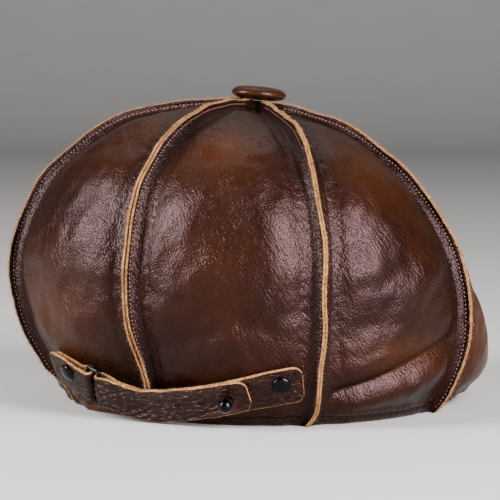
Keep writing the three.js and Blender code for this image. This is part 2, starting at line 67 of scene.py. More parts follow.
def add_camera():
    round_angle = math.radians(CAMERA_ROUND)
    side = Vector((-math.sin(round_angle), math.cos(round_angle), 0.0))
    ahead = -side
    right = ahead.cross(Vector((0, 0, 1)))
    turn = math.radians(CAMERA_TURN)
    ahead = ahead * math.cos(turn) + right * math.sin(turn)
    right = ahead.cross(Vector((0, 0, 1))).normalized()
    nod = math.radians(CAMERA_NOD)
    ahead = ahead * math.cos(nod) + Vector((0, 0, 1)) * math.sin(nod)
    up = right.cross(ahead)
    camera = bpy.data.objects.new("camera", bpy.data.cameras.new("camera"))
    bpy.context.scene.collection.objects.link(camera)
    camera.data.sensor_width = SENSOR
    camera.data.lens = SENSOR * FOCAL_PIXELS / IMAGE_PIXELS
    camera.data.clip_end = 20.0
    place = side * CAMERA_AWAY + Vector((0, AXIS_Y, CAMERA_HEIGHT))
    columns = Matrix((right, up, -ahead)).transposed().to_4x4()
    camera.matrix_world = Matrix.Translation(place * MM) @ columns
    bpy.context.scene.camera = camera
    return camera


camera = add_camera()
print("lens in mm:", round(camera.data.lens, 1))

# %% [markdown]
# ## The crown as numbers
# A crown of eight gores could be pulled from a sphere by hand. Here it is a table instead:
# one row for each level from the button to the rim, and in each row the reach from the axis
# and the height at every seam. A smooth curve runs through the levels and another one runs
# round through the seams, so two numbers, an angle and a level, name any point of the crown.

# %% Crown table
SEAMS = 8
SEAM_ANGLE = 360 / SEAMS
COLUMNS = ["back", "right_back", "side", "front_quarter", "front", "front_quarter", "side", "left_back"]
LEVELS = [
    dict(level="button", fin=4.5, puff=0.0, back=(8, 145.0), right_back=(8, 144.2),
         side=(8, 143.0), front_quarter=(8, 142.0), front=(8, 141.5), left_back=(8, 145.0)),
    dict(level="top", fin=5.0, puff=1.5, back=(36, 144.0), right_back=(36, 140.8),
         side=(34.5, 138.2), front_quarter=(33, 133.5), front=(33, 131.5), left_back=(36.5, 143.8)),
    dict(level="brow", fin=5.5, puff=3.0, back=(65, 138.4), right_back=(65.4, 135.6),
         side=(60.7, 126.7), front_quarter=(57.5, 119.0), front=(56, 115.0), left_back=(66.2, 137.8)),
    dict(level="shoulder", fin=5.5, puff=4.0, back=(90, 124.9), right_back=(91, 123.4),
         side=(82.9, 109.9), front_quarter=(74, 97.0), front=(73, 93.0), left_back=(91, 123.6)),
    dict(level="upper", fin=5.5, puff=4.0, back=(107.8, 106.9), right_back=(108.6, 105.0),
         side=(100, 89.6), front_quarter=(84.5, 71.5), front=(86, 71.0), left_back=(108.2, 104.8)),
    dict(level="waist", fin=5.5, puff=4.0, back=(116.4, 78.0), right_back=(118, 76.0),
         side=(111.1, 65.2), front_quarter=(93.5, 48.0), front=(97, 50.0), left_back=(119.6, 76.3)),
    dict(level="lower", fin=5.5, puff=4.0, back=(114.6, 50.2), right_back=(116.4, 49.0),
         side=(113, 42.0), front_quarter=(107.6, 30.0), front=(109.5, 40.0), left_back=(117.8, 48.7)),
    dict(level="tuck", fin=4.2, puff=2.4, back=(104.5, 26.0), right_back=(111.5, 21.0),
         side=(108.2, 19.2), front_quarter=(109.5, 15.5), front=(108, 24.0), left_back=(106, 22.5)),
    dict(level="rim", fin=3.6, puff=0.4, back=(92, 0), right_back=(98, 0),
         side=(97, 0), front_quarter=(97, 5.5), front=(98, 12.0), left_back=(92.5, 0)),
]
RIM = len(LEVELS) - 1
PLACES = np.array([[row[name] for name in COLUMNS] for row in LEVELS], float)
FINS = np.array([row["fin"] for row in LEVELS])
PUFFS = np.array([row["puff"] for row in LEVELS])


def spline(a, b, c, d, f):
    """A smooth curve through b and c, with a and d beside them."""
    return 0.5 * (2 * b + (c - a) * f + (2 * a - 5 * b + 4 * c - d) * f**2
                  + (3 * b - 3 * c + d - a) * f**3)


def along_levels(values, level):
    """values has one entry for each level; level may be an array."""
    level = np.asarray(level, float)
    first = 2 * values[0] - values[1]
    last = 2 * values[-1] - values[-2]
    padded = np.concatenate([[first], values, [last]])
    i = np.clip(np.floor(level).astype(int), 0, RIM - 1)
    f = (level - i).reshape(level.shape + (1,) * (values.ndim - 1))
    return spline(padded[i], padded[i + 1], padded[i + 2], padded[i + 3], f)


def plain_curve(angle, level):
    """Reach and height of the crown's plain curve for arrays of angles and levels."""
    rows = along_levels(PLACES, level)
    place = np.asarray(angle, float) / SEAM_ANGLE
    seam = np.floor(place + 1e-9).astype(int)
    f = (place - seam)[..., None]
    four = [np.take_along_axis(rows, ((seam + k) % SEAMS)[..., None, None], -2)[..., 0, :]
            for k in (-1, 0, 1, 2)]
    value = spline(*four, f)
    value[..., 1] = np.maximum(value[..., 1], 0.0)
    return value


def crown_point(angle, level, rise=0.0, beside=0.0):
    """Points in mm. rise is square to the profile, beside is square to the plane of the angle."""
    angle, level, rise, beside = np.broadcast_arrays(
        *(np.asarray(v, float) for v in (angle, level, rise, beside)))
    middle = plain_curve(angle, level)
    step = 0.01
    lower = plain_curve(angle, np.minimum(level + step, RIM))
    upper = plain_curve(angle, np.maximum(level - step, 0))
    along = lower - upper
    along /= np.linalg.norm(along, axis=-1, keepdims=True)
    reach = middle[..., 0] - along[..., 1] * rise
    height = middle[..., 1] + along[..., 0] * rise
    sine, cosine = np.sin(np.radians(angle)), np.cos(np.radians(angle))
    return np.stack([-sine * reach - cosine * beside,
                     cosine * reach - sine * beside + AXIS_Y, height], -1)


print("seams:", SEAMS, "levels:", len(LEVELS))

# %% [markdown]
# ## Folds and dents
# Leather shows how it was worn. The large creases are rows of two short tables. On top of
# them comes a soft unevenness: a sum of slow waves in random directions, which costs nothing,
# is smooth everywhere, and is the same on every run because its seed is fixed.

# %% Folds, dents and slow waves
# Folds: gore, level at its left seam, level at its right one, depth in mm, half height in levels
FOLDS = [
    (1, 7.25, 6.15, 3.6, 0.26), (1, 7.75, 6.75, -1.4, 0.3), (1, 6.3, 5.0, 1.1, 0.35),
    (2, 6.7, 6.9, -1.6, 0.7), (5, 6.9, 6.7, -1.6, 0.7),
]
# Dents: gore, place across, level, depth in mm, width across, height in levels
DENTS = [
    (0, 0.5, 5.0, 1.6, 0.22, 1.2), (0, 0.3, 6.2, 1.0, 0.16, 0.5), (7, 0.3, 5.6, 1.4, 0.2, 0.8),
    (1, 0.55, 3.6, 1.2, 0.2, 0.8),
]
# Smaller folds that only the fine surface shows
SMALL_FOLDS = [
    (1, 7.3, 6.2, 1.8, 0.08), (1, 7.62, 6.6, -0.9, 0.2), (1, 5.6, 4.1, 0.7, 0.2),
    (1, 4.6, 3.4, 0.5, 0.2), (1, 6.6, 5.9, 0.4, 0.1), (0, 3.1, 3.3, 0.45, 0.16),
    (0, 2.1, 2.5, 0.35, 0.14), (0, 6.5, 5.7, 0.6, 0.14), (0, 5.4, 6.3, 0.5, 0.16),
    (7, 6.1, 5.4, 0.6, 0.2), (7, 3.4, 2.7, 0.4, 0.2), (2, 5.4, 4.6, 0.6, 0.2), (3, 5.2, 5.0, 0.7, 0.2),
    (4, 5.1, 5.4, 0.7, 0.2), (5, 4.8, 5.5, 0.6, 0.2), (6, 6.5, 5.6, 0.7, 0.2),
]


def slow_waves(points, wavelength, count, seed):
    """A smooth field of about unit size from waves in random directions."""
    draw = np.random.default_rng(seed)
    total = np.zeros(points.shape[:-1])
    for _ in range(count):
        heading = draw.normal(size=3)
        heading *= 2 * math.pi / wavelength / np.linalg.norm(heading) * draw.uniform(0.7, 1.4)
        total += np.sin(points @ heading + draw.uniform(0, 2 * math.pi))
    return total / math.sqrt(count / 2)


def fold_depth(rows, gore, across, level):
    total = np.zeros(np.broadcast(across, level).shape)
    for place, start, end, depth, half in rows:
        if place == gore:
            middle = start + (end - start) * across
            total += depth * np.exp(-(((level - middle) / half) ** 2))
    return total


def swelling(gore, across, level):
    """How far the leather of a gore stands off the plain curve, in mm."""
    from_middle = np.abs(2 * across - 1)
    rise = along_levels(PUFFS, level) * (1 - from_middle**2.6)
    held = 1 - from_middle**6
    rise -= held * fold_depth(FOLDS, gore, across, level)
    rise -= held * fold_depth(SMALL_FOLDS, gore, across, level)
    for place, middle, centre, depth, wide, tall in DENTS:
        if place == gore:
            aside, down = (across - middle) / wide, (level - centre) / tall
            rise -= depth * held * np.exp(-(aside**2) - down**2)
    points = crown_point((gore + across) * SEAM_ANGLE, level)
    rise += held * 0.5 * slow_waves(points, 34.0, 14, 11 + gore)
    rise += held * 0.14 * slow_waves(points, 11.0, 18, 31 + gore)
    return rise


print("folds:", len(FOLDS) + len(SMALL_FOLDS), "dents:", len(DENTS))

# %% [markdown]
# ## A sheet of leather
# Every leather piece is one closed sheet: a grid of points on the grain side, the same grid on
# the flesh side, and a cut edge between them. One function makes all of them from two arrays.
# The cut edge gets a few rows of its own, so that it can bulge and be rough, and each face
# remembers whether it is grain, flesh or cut edge, which picks its material.

# %% Sheet function
GRAIN, FLESH, CUT = 0, 1, 2


def new_piece(name, points, faces, finishes, kinds=None):
    """points are in mm. kinds says for each face which of the finishes it has."""
    mesh = bpy.data.meshes.new(name)
    mesh.from_pydata((np.asarray(points) * MM).tolist(), [], faces)
    mesh.polygons.foreach_set("use_smooth", [True] * len(mesh.polygons))
    for material in finishes:
        mesh.materials.append(material)
    if kinds is not None:
        mesh.polygons.foreach_set("material_index", kinds)
    mesh.update()
    piece = bpy.data.objects.new(name, mesh)
    bpy.context.scene.collection.objects.link(piece)
    face_out(piece)
    return piece


def face_out(piece):
    """Turns all the faces over where the mesh encloses a negative volume."""
    tree = bmesh.new()
    tree.from_mesh(piece.data)
    if tree.calc_volume(signed=True) < 0:
        bmesh.ops.reverse_faces(tree, faces=tree.faces)
        tree.to_mesh(piece.data)
    tree.free()


def grid_quads(number):
    """Four corners for each cell of a grid of vertex numbers."""
    corners = [number[:-1, :-1], number[:-1, 1:], number[1:, 1:], number[1:, :-1]]
    return np.stack(corners, -1).reshape(-1, 4)


def border_walk(number):
    """Vertex numbers once round the border of a grid."""
    return np.concatenate([number[0, :-1], number[:-1, -1], number[-1, :0:-1], number[:0:-1, 0]])


def edge_direction(front, back, walk):
    """For each border point, the direction out of the sheet, square to its thickness."""
    rows, columns = front.shape[:2]
    inside = front[np.clip(walk // columns, 1, rows - 2), np.clip(walk % columns, 1, columns - 2)]
    top = front.reshape(-1, 3)[walk]
    through = back.reshape(-1, 3)[walk] - top
    out = top - inside
    out -= through * (np.sum(out * through, 1) / np.sum(through**2, 1))[:, None]
    return out / np.linalg.norm(out, axis=1, keepdims=True)


def leather_sheet(name, front, back, finishes, bulge, rough=0.0, edge_rows=2, seed=1,
                  kinds=None, fields=None):
    """front and back are grids of points. bulge is how far each border point's edge rounds out."""
    rows, columns = front.shape[:2]
    half = rows * columns
    number = np.arange(half).reshape(rows, columns)
    walk = border_walk(number)
    out = edge_direction(front, back, walk)
    top = front.reshape(-1, 3)[walk]
    low = back.reshape(-1, 3)[walk]
    bulge = np.broadcast_to(bulge, len(walk))
    draw = np.random.default_rng(seed)
    points = [front.reshape(-1, 3), back.reshape(-1, 3)]
    rings = [walk]
    for k in range(1, edge_rows + 1):
        share = k / (edge_rows + 1)
        shape = math.sqrt(1 - (2 * share - 1) ** 2)
        jitter = draw.uniform(-rough, rough, len(walk))
        points.append(top + (low - top) * share + out * (bulge * shape + jitter)[:, None])
        rings.append(2 * half + (k - 1) * len(walk) + np.arange(len(walk)))
    rings.append(walk + half)
    strips = [np.stack([upper, lower, np.roll(lower, -1), np.roll(upper, -1)], -1)
              for upper, lower in zip(rings, rings[1:])]
    faces = np.concatenate([grid_quads(number), grid_quads(number + half)[:, ::-1], *strips])
    if kinds is None:
        cells = (rows - 1) * (columns - 1)
        kinds = np.repeat([GRAIN, FLESH, CUT], [cells, cells, len(walk) * (edge_rows + 1)])
    points = np.concatenate(points)
    points[:, 2] = np.maximum(points[:, 2], 0.0)
    piece = new_piece(name, points, faces.tolist(), finishes, kinds)
    for label, values in (fields or {}).items():
        values = np.asarray(values, float).ravel()
        set_field(piece, label, np.concatenate([values, values, *[values[walk]] * edge_rows]))
    return piece


def set_field(piece, label, values):
    """Keeps one number for each vertex, for a material to read."""
    field = piece.data.attributes.new(label, "FLOAT", "POINT")
    field.data.foreach_set("value", np.asarray(values, np.float32))


print("a sheet has finishes for grain, flesh and cut edge")

# %% [markdown]
# ## Shaders written as sums
# A node tree that is made by script is hard to read when each node takes three lines. A small
# class wraps a socket, and Python's own operators add the Math nodes, so that a bump height
# reads like a formula. Every other node comes from one method: its type, its settings, its
# inputs.

# %% Shader class
class Value:
    """A number or colour in a shader."""

    def __init__(self, shader, socket):
        self.shader = shader
        self.socket = socket

    def maths(self, operation, first, second=0.0):
        return self.shader.node("ShaderNodeMath", dict(operation=operation), {0: first, 1: second})

    def __add__(self, other):
        return self.maths("ADD", self, other)

    def __sub__(self, other):
        return self.maths("SUBTRACT", self, other)

    def __rsub__(self, other):
        return self.maths("SUBTRACT", other, self)

    def __mul__(self, other):
        return self.maths("MULTIPLY", self, other)

    def __truediv__(self, other):
        return self.maths("DIVIDE", self, other)

    def __rtruediv__(self, other):
        return self.maths("DIVIDE", other, self)

    def __pow__(self, other):
        return self.maths("POWER", self, other)

    __radd__ = __add__
    __rmul__ = __mul__

    def exp(self):
        return self.maths("EXPONENT", self)

    def size(self):
        return self.maths("ABSOLUTE", self)

    def limited(self):
        return self.shader.node("ShaderNodeClamp", {}, {0: self, 1: 0.0, 2: 1.0})

    def step(self, low, high):
        """0 below low, 1 above high, and smooth between."""
        settings = dict(interpolation_type="SMOOTHSTEP")
        return self.shader.node("ShaderNodeMapRange", settings, {0: self, 1: low, 2: high, 3: 0.0, 4: 1.0})


class Shader:
    def __init__(self, name):
        self.material = bpy.data.materials.new(name)
        self.material.use_nodes = True
        self.tree = self.material.node_tree
        self.surface = self.tree.nodes["Principled BSDF"]
        self.place = self.node("ShaderNodeTexCoord", output="Object")

    def node(self, kind, settings=None, inputs=None, output=0):
        node = self.tree.nodes.new(kind)
        for key, value in (settings or {}).items():
            setattr(node, key, value)
        for key, value in (inputs or {}).items():
            self.feed(node.inputs[key], value)
        return Value(self, node.outputs[output])

    def feed(self, socket, value):
        if isinstance(value, Value):
            self.tree.links.new(value.socket, socket)
        else:
            socket.default_value = value

    def set(self, **inputs):
        for key, value in inputs.items():
            self.feed(self.surface.inputs[key.replace("_", " ")], value)

    def field(self, label):
        return self.node("ShaderNodeAttribute", dict(attribute_name=label), output="Fac")

    def noise(self, size, detail=2.0, roughness=0.5, vector=None):
        inputs = {"Vector": vector or self.place, "Scale": 1 / (size * MM)}
        inputs.update(Detail=detail, Roughness=roughness)
        return self.node("ShaderNodeTexNoise", {}, inputs)

    def cells(self, size, vector=None):
        inputs = {"Vector": vector or self.place, "Scale": 1 / (size * MM)}
        return self.node("ShaderNodeTexVoronoi", {}, inputs)

    def warped(self, size, amount, vector=None):
        """The coordinates pushed about by a slow noise: size and amount in mm."""
        vector = vector or self.place
        inputs = {"Vector": vector, "Scale": 1 / (size * MM), "Detail": 2.0}
        push = self.node("ShaderNodeTexNoise", {}, inputs, output="Color")
        push = self.node("ShaderNodeVectorMath", dict(operation="SUBTRACT"), {0: push, 1: (0.5, 0.5, 0.5)})
        longer = {0: push, "Scale": amount * MM * 2}
        push = self.node("ShaderNodeVectorMath", dict(operation="SCALE"), longer)
        return self.node("ShaderNodeVectorMath", dict(operation="ADD"), {0: vector, 1: push})

    def mix(self, share, first, second):
        """A colour between two colours."""
        pick = lambda c: c if isinstance(c, Value) else (*c, 1.0)
        inputs = {0: share, 6: pick(first), 7: pick(second)}
        return self.node("ShaderNodeMix", dict(data_type="RGBA"), inputs, output=2)

    def bump(self, height, distance=1.0, strength=1.0):
        """height is in mm."""
        inputs = {"Height": height, "Distance": distance * MM, "Strength": strength}
        return self.node("ShaderNodeBump", {}, inputs)


print("shader class ready")

# %% [markdown]
# ## Leather
# Grain leather is a skin of pebbles with creases between them. Two sizes of Voronoi cells give
# the pebbles, and pushing their coordinates about makes them uneven and a little drawn out. A
# noise that is stretched along a slant adds fine creases. The colour is darkened in the creases
# and beside the seams as painted shade, and is more orange where the hide is stretched, which the
# mesh tells through its fields. On ridged leather the crests are lighter, partly as rub wear and
# partly as painted highlight. The colours are very dark, because polished leather shows mostly
# what it mirrors.

# %% Leather shader
def leather(name, dark, light, worn_and_sheen, grain=0.85, depth=0.085, crease=0.15, ridge=0.0, roughness=0.27,
            slant=0.5):
    s = Shader(name)
    skin = s.warped(7.0, 1.1, s.warped(2.2, 0.25))
    along = s.field("along")
    across = s.field("across")
    drawn = (along * 0.85 + across * slant) * (0.35 * MM)
    flat = s.node("ShaderNodeCombineXYZ", {}, {0: drawn, 1: (across * 0.85 - along * slant) * MM, 2: 0.0})
    flat = s.warped(9.0, 2.0, flat)
    pebble = 1 - s.cells(grain, skin) ** 1.6 * 1.5
    fine = 1 - s.cells(grain * 0.45, skin) * 1.2
    lines = (s.noise(1.3, 2.0, 0.55, flat) - 0.5) * 2
    crest = (1 - (s.noise(2.0, 2.0, 0.5, flat) - 0.5).size() * 15).limited()
    folds = s.noise(11.0, 3.0, 0.55, s.warped(20.0, 6.0))
    near_seam = (s.field("seam") * -0.16).exp()
    amount = 0.65 + s.noise(26.0, 2.0) * 0.9 + near_seam * 0.9
    height = pebble * depth * amount + fine * (depth * 0.3) + lines * crease * amount + folds * 0.5
    height = height + crest * ridge
    s.set(Normal=s.bump(height))
    blotch = (s.noise(38.0, 3.0, 0.55) * 1.7 - 0.35).limited()
    small = (s.noise(6.0, 4.0, 0.6) - 0.5) * 0.35
    colour = s.mix((blotch + small).limited(), dark, light)
    # The field mixed in here is real wear on the crown; on the straps it marks raised creases, painted
    # lighter partly as rub wear and partly as painted highlight.
    colour = s.mix((s.field("wear_and_sheen") + small * 0.8).limited(), colour, worn_and_sheen)
    # Painted highlight and rub wear: the crests of ridged leather are coloured lighter.
    colour = s.mix((crest * (ridge * 1.5)).limited(), colour, worn_and_sheen)
    # Painted shade: the colour is darkened in the pebbles' creases and beside the seams, on the ribs'
    # sides, where shade falls.
    valley = (1 - pebble).step(0.35, 1.25) * 0.45 + near_seam.step(0.25, 0.9) * 0.45
    colour = s.mix(valley.limited(), colour, tuple(0.28 * c for c in dark))
    s.set(Base_Color=colour)
    s.set(Roughness=roughness + small * 0.25 + s.noise(17.0, 2.0) * 0.1 + valley * 0.15)
    s.set(Specular_IOR_Level=0.15, Specular_Tint=(1.0, 0.66, 0.7, 1.0))
    return s.material


DARK = (0.0026, 0.0007, 0.0003)
BROWN = (0.0105, 0.0026, 0.0007)
ORANGE = (0.028, 0.0074, 0.0010)
crown_leather = leather("crown_leather", DARK, BROWN, ORANGE)
peak_leather = leather("peak_leather", DARK, BROWN, ORANGE, roughness=0.22)
button_leather = leather("button_leather", (0.0055, 0.0015, 0.0007), (0.013, 0.0036, 0.0013), ORANGE,
                         depth=0.05, crease=0.05)
STRAP_DARK = (0.0022, 0.0006, 0.0003)
STRAP_BROWN = (0.0058, 0.0015, 0.0007)
# The lighter colour of the straps' raised creases: partly rub wear, partly painted highlight.
STRAP_WORN_AND_SHEEN = (0.034, 0.013, 0.007)
strap_leather = leather("strap_leather", STRAP_DARK, STRAP_BROWN, STRAP_WORN_AND_SHEEN, depth=0.06, crease=0.12,
                        ridge=0.24, slant=0.1)
print("leathers:", [m.name for m in (crown_leather, peak_leather, button_leather, strap_leather)])

# %% [markdown]
# ## Cut edges, flesh, thread and metal
# A cut edge is pale and fibrous: a fine streaky noise with darker pores. The flesh side is
# suede. The thread of the seams is worn pale, and the hem's is dark. The snap metal is a nearly
# black plating, smooth enough to mirror the lamps, with faint scratches in its roughness.

# %% Other materials
def raw_leather(name, pale, deep, size=0.5):
    s = Shader(name)
    fibre = s.noise(size, 4.0, 0.7)
    patch = s.noise(7.0, 3.0, 0.6)
    share = (fibre * 2.6 - 0.9 + (patch - 0.5) * 1.1).limited()
    s.set(Base_Color=s.mix(share, deep, pale))
    s.set(Roughness=0.86 - fibre * 0.1)
    s.set(Normal=s.bump(fibre * 0.3 + s.cells(size * 1.4) * 0.16))
    s.set(Specular_IOR_Level=0.25)
    return s.material


def metal(name, colour, smear, roughness):
    s = Shader(name)
    scratch = s.noise(0.35, 2.0, 0.6, s.warped(3.0, 1.5))
    cloud = s.noise(2.6, 3.0, 0.6)
    s.set(Base_Color=s.mix((cloud * 1.4 - 0.3).limited(), colour, smear))
    s.set(Roughness=roughness + (scratch - 0.5) * 0.12 + cloud * 0.08)
    s.set(Normal=s.bump(scratch * 0.006))
    s.set(Metallic=1.0)
    return s.material


def thread_material(name, colour, shade):
    s = Shader(name)
    twist = s.noise(0.4, 2.0, 0.5)
    s.set(Base_Color=s.mix(twist, shade, colour))
    s.set(Roughness=0.55 + twist * 0.15)
    s.set(Specular_IOR_Level=0.1)
    s.set(Normal=s.bump(twist * 0.08))
    return s.material


raw_edge = raw_leather("raw_edge", (0.33, 0.155, 0.048), (0.06, 0.02, 0.005), 1.3)
fibre_ends = raw_leather("fibre_ends", (0.3, 0.16, 0.06), (0.15, 0.066, 0.02), 0.3)
flesh_side = raw_leather("flesh_side", (0.15, 0.07, 0.03), (0.08, 0.034, 0.013), 0.8)
dark_thread = thread_material("dark_thread", (0.2, 0.115, 0.085), (0.09, 0.048, 0.034))
hem_thread = thread_material("hem_thread", (0.008, 0.003, 0.002), (0.004, 0.0015, 0.001))
black_metal = metal("black_metal", (0.007, 0.007, 0.008), (0.014, 0.0145, 0.016), 0.17)
plain_brass = metal("plain_brass", (0.03, 0.021, 0.011), (0.02, 0.014, 0.008), 0.45)
SHEET = [crown_leather, flesh_side, raw_edge]
print("materials:", len(bpy.data.materials))

# %% [markdown]
# ## The eight gores
# Each gore is cut with an allowance on both sides that is turned outwards, so two neighbours
# stand back to back as a raw-edged rib. The tables below say how high and wide a rib is on its
# way down to the gore. The ribs wave a little, lean over and open at the top, and at the rim the
# leather is folded in to a hem that is sewn through.

# %% Gore surface
WALL = 1.6
HEM_THICK = 3.2
HEM_LEVEL = 7.5
HEM_STEP = 0.02
LAST_LEVEL = 7.965
ROW_STEP = 1.15
# How far the folded rim and the cut edges round out, and how rough the cut is, in mm
RIM_BULGE, EDGE_BULGE, EDGE_ROUGH = 1.55, 0.12, 0.07
EDGE_ROWS = 3
PANEL_COLUMNS = 66
# How even the columns' steps are: all the same at 1, and crowded towards the seams at 0
EVEN = 0.55
# Where the panel begins beside a seam, in mm, and as a share of the reach where that is less
PANEL_START = 5.2
FLARE_SHARE = 0.3
# Half a rib's width in mm: what is wider in the next table gets narrower near the button
RIB_HALF = 1.6
# Down the side of a rib: share of its height, and distance from the seam in mm. It is pinched
# at the stitches and then rounds out to the gore.
RIB = [(1.0, 1.04), (0.9, 1.16), (0.76, 1.26), (0.6, 1.12), (0.46, 1.5), (0.32, 2.15),
       (0.2, 2.95), (0.1, 3.8), (0.03, 4.6)]
# Half the gap between the two layers of a rib, and where they turn into the gores
LAYER_GAP, TURN_GAP = 0.04, 0.14
# How much further each layer leans out at the top, in mm, usually and on some ribs
USUAL_OPENING = 0.04
OPEN_RIBS = {0: 0.5, 2: 0.25, 7: 0.2}
# The row of RIB that is sewn through, and how many of its rows lie on the gore's own wall
STITCHED = 3
TURNED_ROWS = 3
# Puckers and the shallow valley beside a seam, in mm
PUCKER_REACH, PUCKER_RISE, PUCKER_WAVE = 5.0, 0.22, 4.5
VALLEY_AWAY, VALLEY_HALF, VALLEY_DEPTH = 9.0, 3.0, 0.6
# The hem's stitches: how far above the rim, and from one to the next
HEM_LINE = 4.6
HEM_PITCH = 3.6
# Where the ribs are trimmed down: seam, and the two levels between which they get low
TRIMS = {3: (6.6, 8.0), 4: (6.6, 8.0), 5: (6.6, 8.0), 7: (7.1, 7.5)}
TRIMMED_FIN = 0.4
# Patches where the dye is worn to orange: gore, across, level, wide, tall, strength
WORN = [
    (7, 0.45, 6.0, 0.35, 0.9, 0.75), (7, 0.75, 2.6, 0.3, 1.2, 0.35), (0, 0.45, 2.9, 0.3, 0.8, 0.65),
    (0, 0.5, 5.6, 0.35, 1.2, 0.2), (1, 0.5, 3.0, 0.4, 1.0, 0.45), (1, 0.5, 6.5, 0.4, 0.35, 0.5),
    (2, 0.4, 5.8, 0.5, 1.6, 0.8), (3, 0.5, 5.0, 0.4, 1.5, 0.5), (4, 0.5, 4.5, 0.4, 1.4, 0.5),
    (5, 0.5, 5.0, 0.4, 1.5, 0.5), (6, 0.5, 4.0, 0.4, 1.4, 0.4), (7, 0.5, 7.9, 0.6, 0.3, 0.9),
]
# Ends of the ribs that flop over at the rim: seam, lean in mm
TAILS = {0: 4.0, 1: -3.5, 2: -3.0}


def gore_levels():
    """The levels of a gore's rows, at even steps along the crown, and the length of a seam."""
    fine = np.linspace(0, LAST_LEVEL, 3000)
    line = crown_point(np.full(len(fine), SEAM_ANGLE / 2), fine)
    length = np.concatenate([[0], np.cumsum(np.linalg.norm(np.diff(line, axis=0), axis=1))])
    rows = np.interp(np.arange(0, length[-1] + ROW_STEP / 2, ROW_STEP), length, fine)
    rows[-1] = LAST_LEVEL
    rows = rows[np.abs(rows - HEM_LEVEL) > 1.1 * HEM_STEP]
    return np.sort(np.concatenate([rows, [HEM_LEVEL, HEM_LEVEL + HEM_STEP]])), length[-1]


ROWS, SEAM_LENGTH = gore_levels()


def rib_shape(seam, level, side):
    """Height, lean and opening of one layer of a rib, in mm, along a seam."""
    seam = seam % SEAMS
    points = crown_point(np.full(level.shape, seam * SEAM_ANGLE), level)
    full = along_levels(FINS, level)
    if seam in TRIMS:
        first, last = TRIMS[seam]
        share = np.clip((level - first) / (last - first), 0, 1)
        full = full + (TRIMMED_FIN - full) * share
    height = full * (1 + 0.05 * slow_waves(points, 26.0, 6, 200 + seam))
    height += 0.05 * slow_waves(points, 5.0, 8, 220 + 10 * seam + side)
    lean = 0.5 * slow_waves(points, 40.0, 6, 300 + seam) + 0.04 * slow_waves(points, 7.0, 6, 310 + seam)
    lean += TAILS.get(seam, 0.0) * np.clip((level - 7.45) / 0.5, 0, 1) ** 2
    unsteady = 1 + 0.25 * slow_waves(points, 30.0, 6, 330 + 10 * seam + side)
    opening = OPEN_RIBS.get(seam, USUAL_OPENING) * unsteady
    return height, lean, opening


def hem_relief(angle, level):
    """The groove of the hem's stitching and the roll above it."""
    curve = plain_curve(angle, level)
    rim = plain_curve(angle, np.full(level.shape, float(RIM)))
    away = np.linalg.norm(curve - rim, axis=-1)
    beat = np.cos(2 * math.pi * np.radians(angle) * rim[..., 0] / HEM_PITCH)
    groove = np.exp(-(((away - HEM_LINE) / 0.9) ** 2)) * (0.75 + 0.25 * beat)
    roll = 0.7 * np.exp(-(((away - HEM_LINE - 3.0) / 1.7) ** 2)) * (1 - 0.35 * beat)
    edge = 0.35 * np.exp(-(((away - 2.0) / 1.4) ** 2)) * (1 - 0.4 * beat)
    return roll + edge - groove


print("rows down each gore:", len(ROWS), "seam length in mm:", round(SEAM_LENGTH))

# %% [markdown]
# ## Building the gores
# Now the gores themselves. A gore is the rib layer on its left, the panel, and the rib layer on
# its right, side by side in one grid. Near the button there is no room for the whole flare of a
# rib, so its width shrinks with the reach. The fields tell the shader how far a point is from
# the seam and where the dye is worn.

# %% Build the gores
def rib_chain(seam, side, flare):
    """Points down both faces of a rib's layer. side is 1 for the gore after the seam."""
    level = ROWS
    angle = np.full(level.shape, seam * SEAM_ANGLE)
    height, lean, opening = rib_shape(seam, level, side)
    wall = np.where(level > HEM_LEVEL, HEM_THICK, WALL)
    outer, inner = [], []
    for row, (share, half) in enumerate(RIB):
        wide = RIB_HALF + (half - RIB_HALF) * flare if half > RIB_HALF else half
        aside = lean * share**2 + side * (wide + opening * share**2)
        outer.append(crown_point(angle, level, height * share, aside))
        below = row - (len(RIB) - TURNED_ROWS) + 1
        if below > 0:
            inner.append(crown_point(angle, level, -wall * below / TURNED_ROWS, side * TURN_GAP))
        else:
            aside = lean * share**2 + side * (LAYER_GAP + opening * share**2)
            inner.append(crown_point(angle, level, height * share, aside))
    return outer, inner


def panel_rise(gore, angle, across, level, from_seam, begin):
    """How far a gore's panel stands off the plain curve, with its puckers and its hem."""
    on_gore = np.clip((from_seam - begin) / 1.5, 0, 1)
    pucker = slow_waves(crown_point(angle, level), PUCKER_WAVE, 14, 60 + gore)
    valley = np.exp(-(((from_seam - VALLEY_AWAY) / VALLEY_HALF) ** 2))
    rise = swelling(gore, across, level) + hem_relief(angle, level)
    rise = rise + on_gore * np.exp((begin - from_seam) / PUCKER_REACH) * PUCKER_RISE * pucker
    return rise - on_gore * VALLEY_DEPTH * valley


def worn_patches(gore, across, level):
    wear_and_sheen = np.zeros(level.shape)
    for place, aside, middle, wide, tall, strength in WORN:
        if place == gore:
            wear_and_sheen += strength * np.exp(-(((across - aside) / wide) ** 2) - ((level - middle) / tall) ** 2)
    return wear_and_sheen


def gore_fields(gore, angle, across, level, from_seam, reach):
    """What the shader is told: the place along and across, the way from the seam, and the wear."""
    rows, side = len(ROWS), len(RIB)
    unworn = np.zeros((rows, side))
    wear_and_sheen = np.concatenate([unworn, worn_patches(gore, across, level), unworn], 1)
    round_mm = np.radians(angle - (gore + 0.5) * SEAM_ANGLE) * reach
    up_rib = np.linspace(8.0, 0.6, side)[None]
    round_all = [round_mm[:, :1] - up_rib, round_mm, round_mm[:, -1:] + up_rib[:, ::-1]]
    down_rib = np.linspace(0.5, PANEL_START - 0.5, side) * np.ones((rows, 1))
    seam_all = [down_rib, from_seam, down_rib[:, ::-1]]
    along = np.broadcast_to(np.linspace(0, SEAM_LENGTH, rows)[:, None], wear_and_sheen.shape)
    across_all = np.concatenate(round_all, 1)
    return dict(along=along, across=across_all, seam=np.concatenate(seam_all, 1), wear_and_sheen=wear_and_sheen)


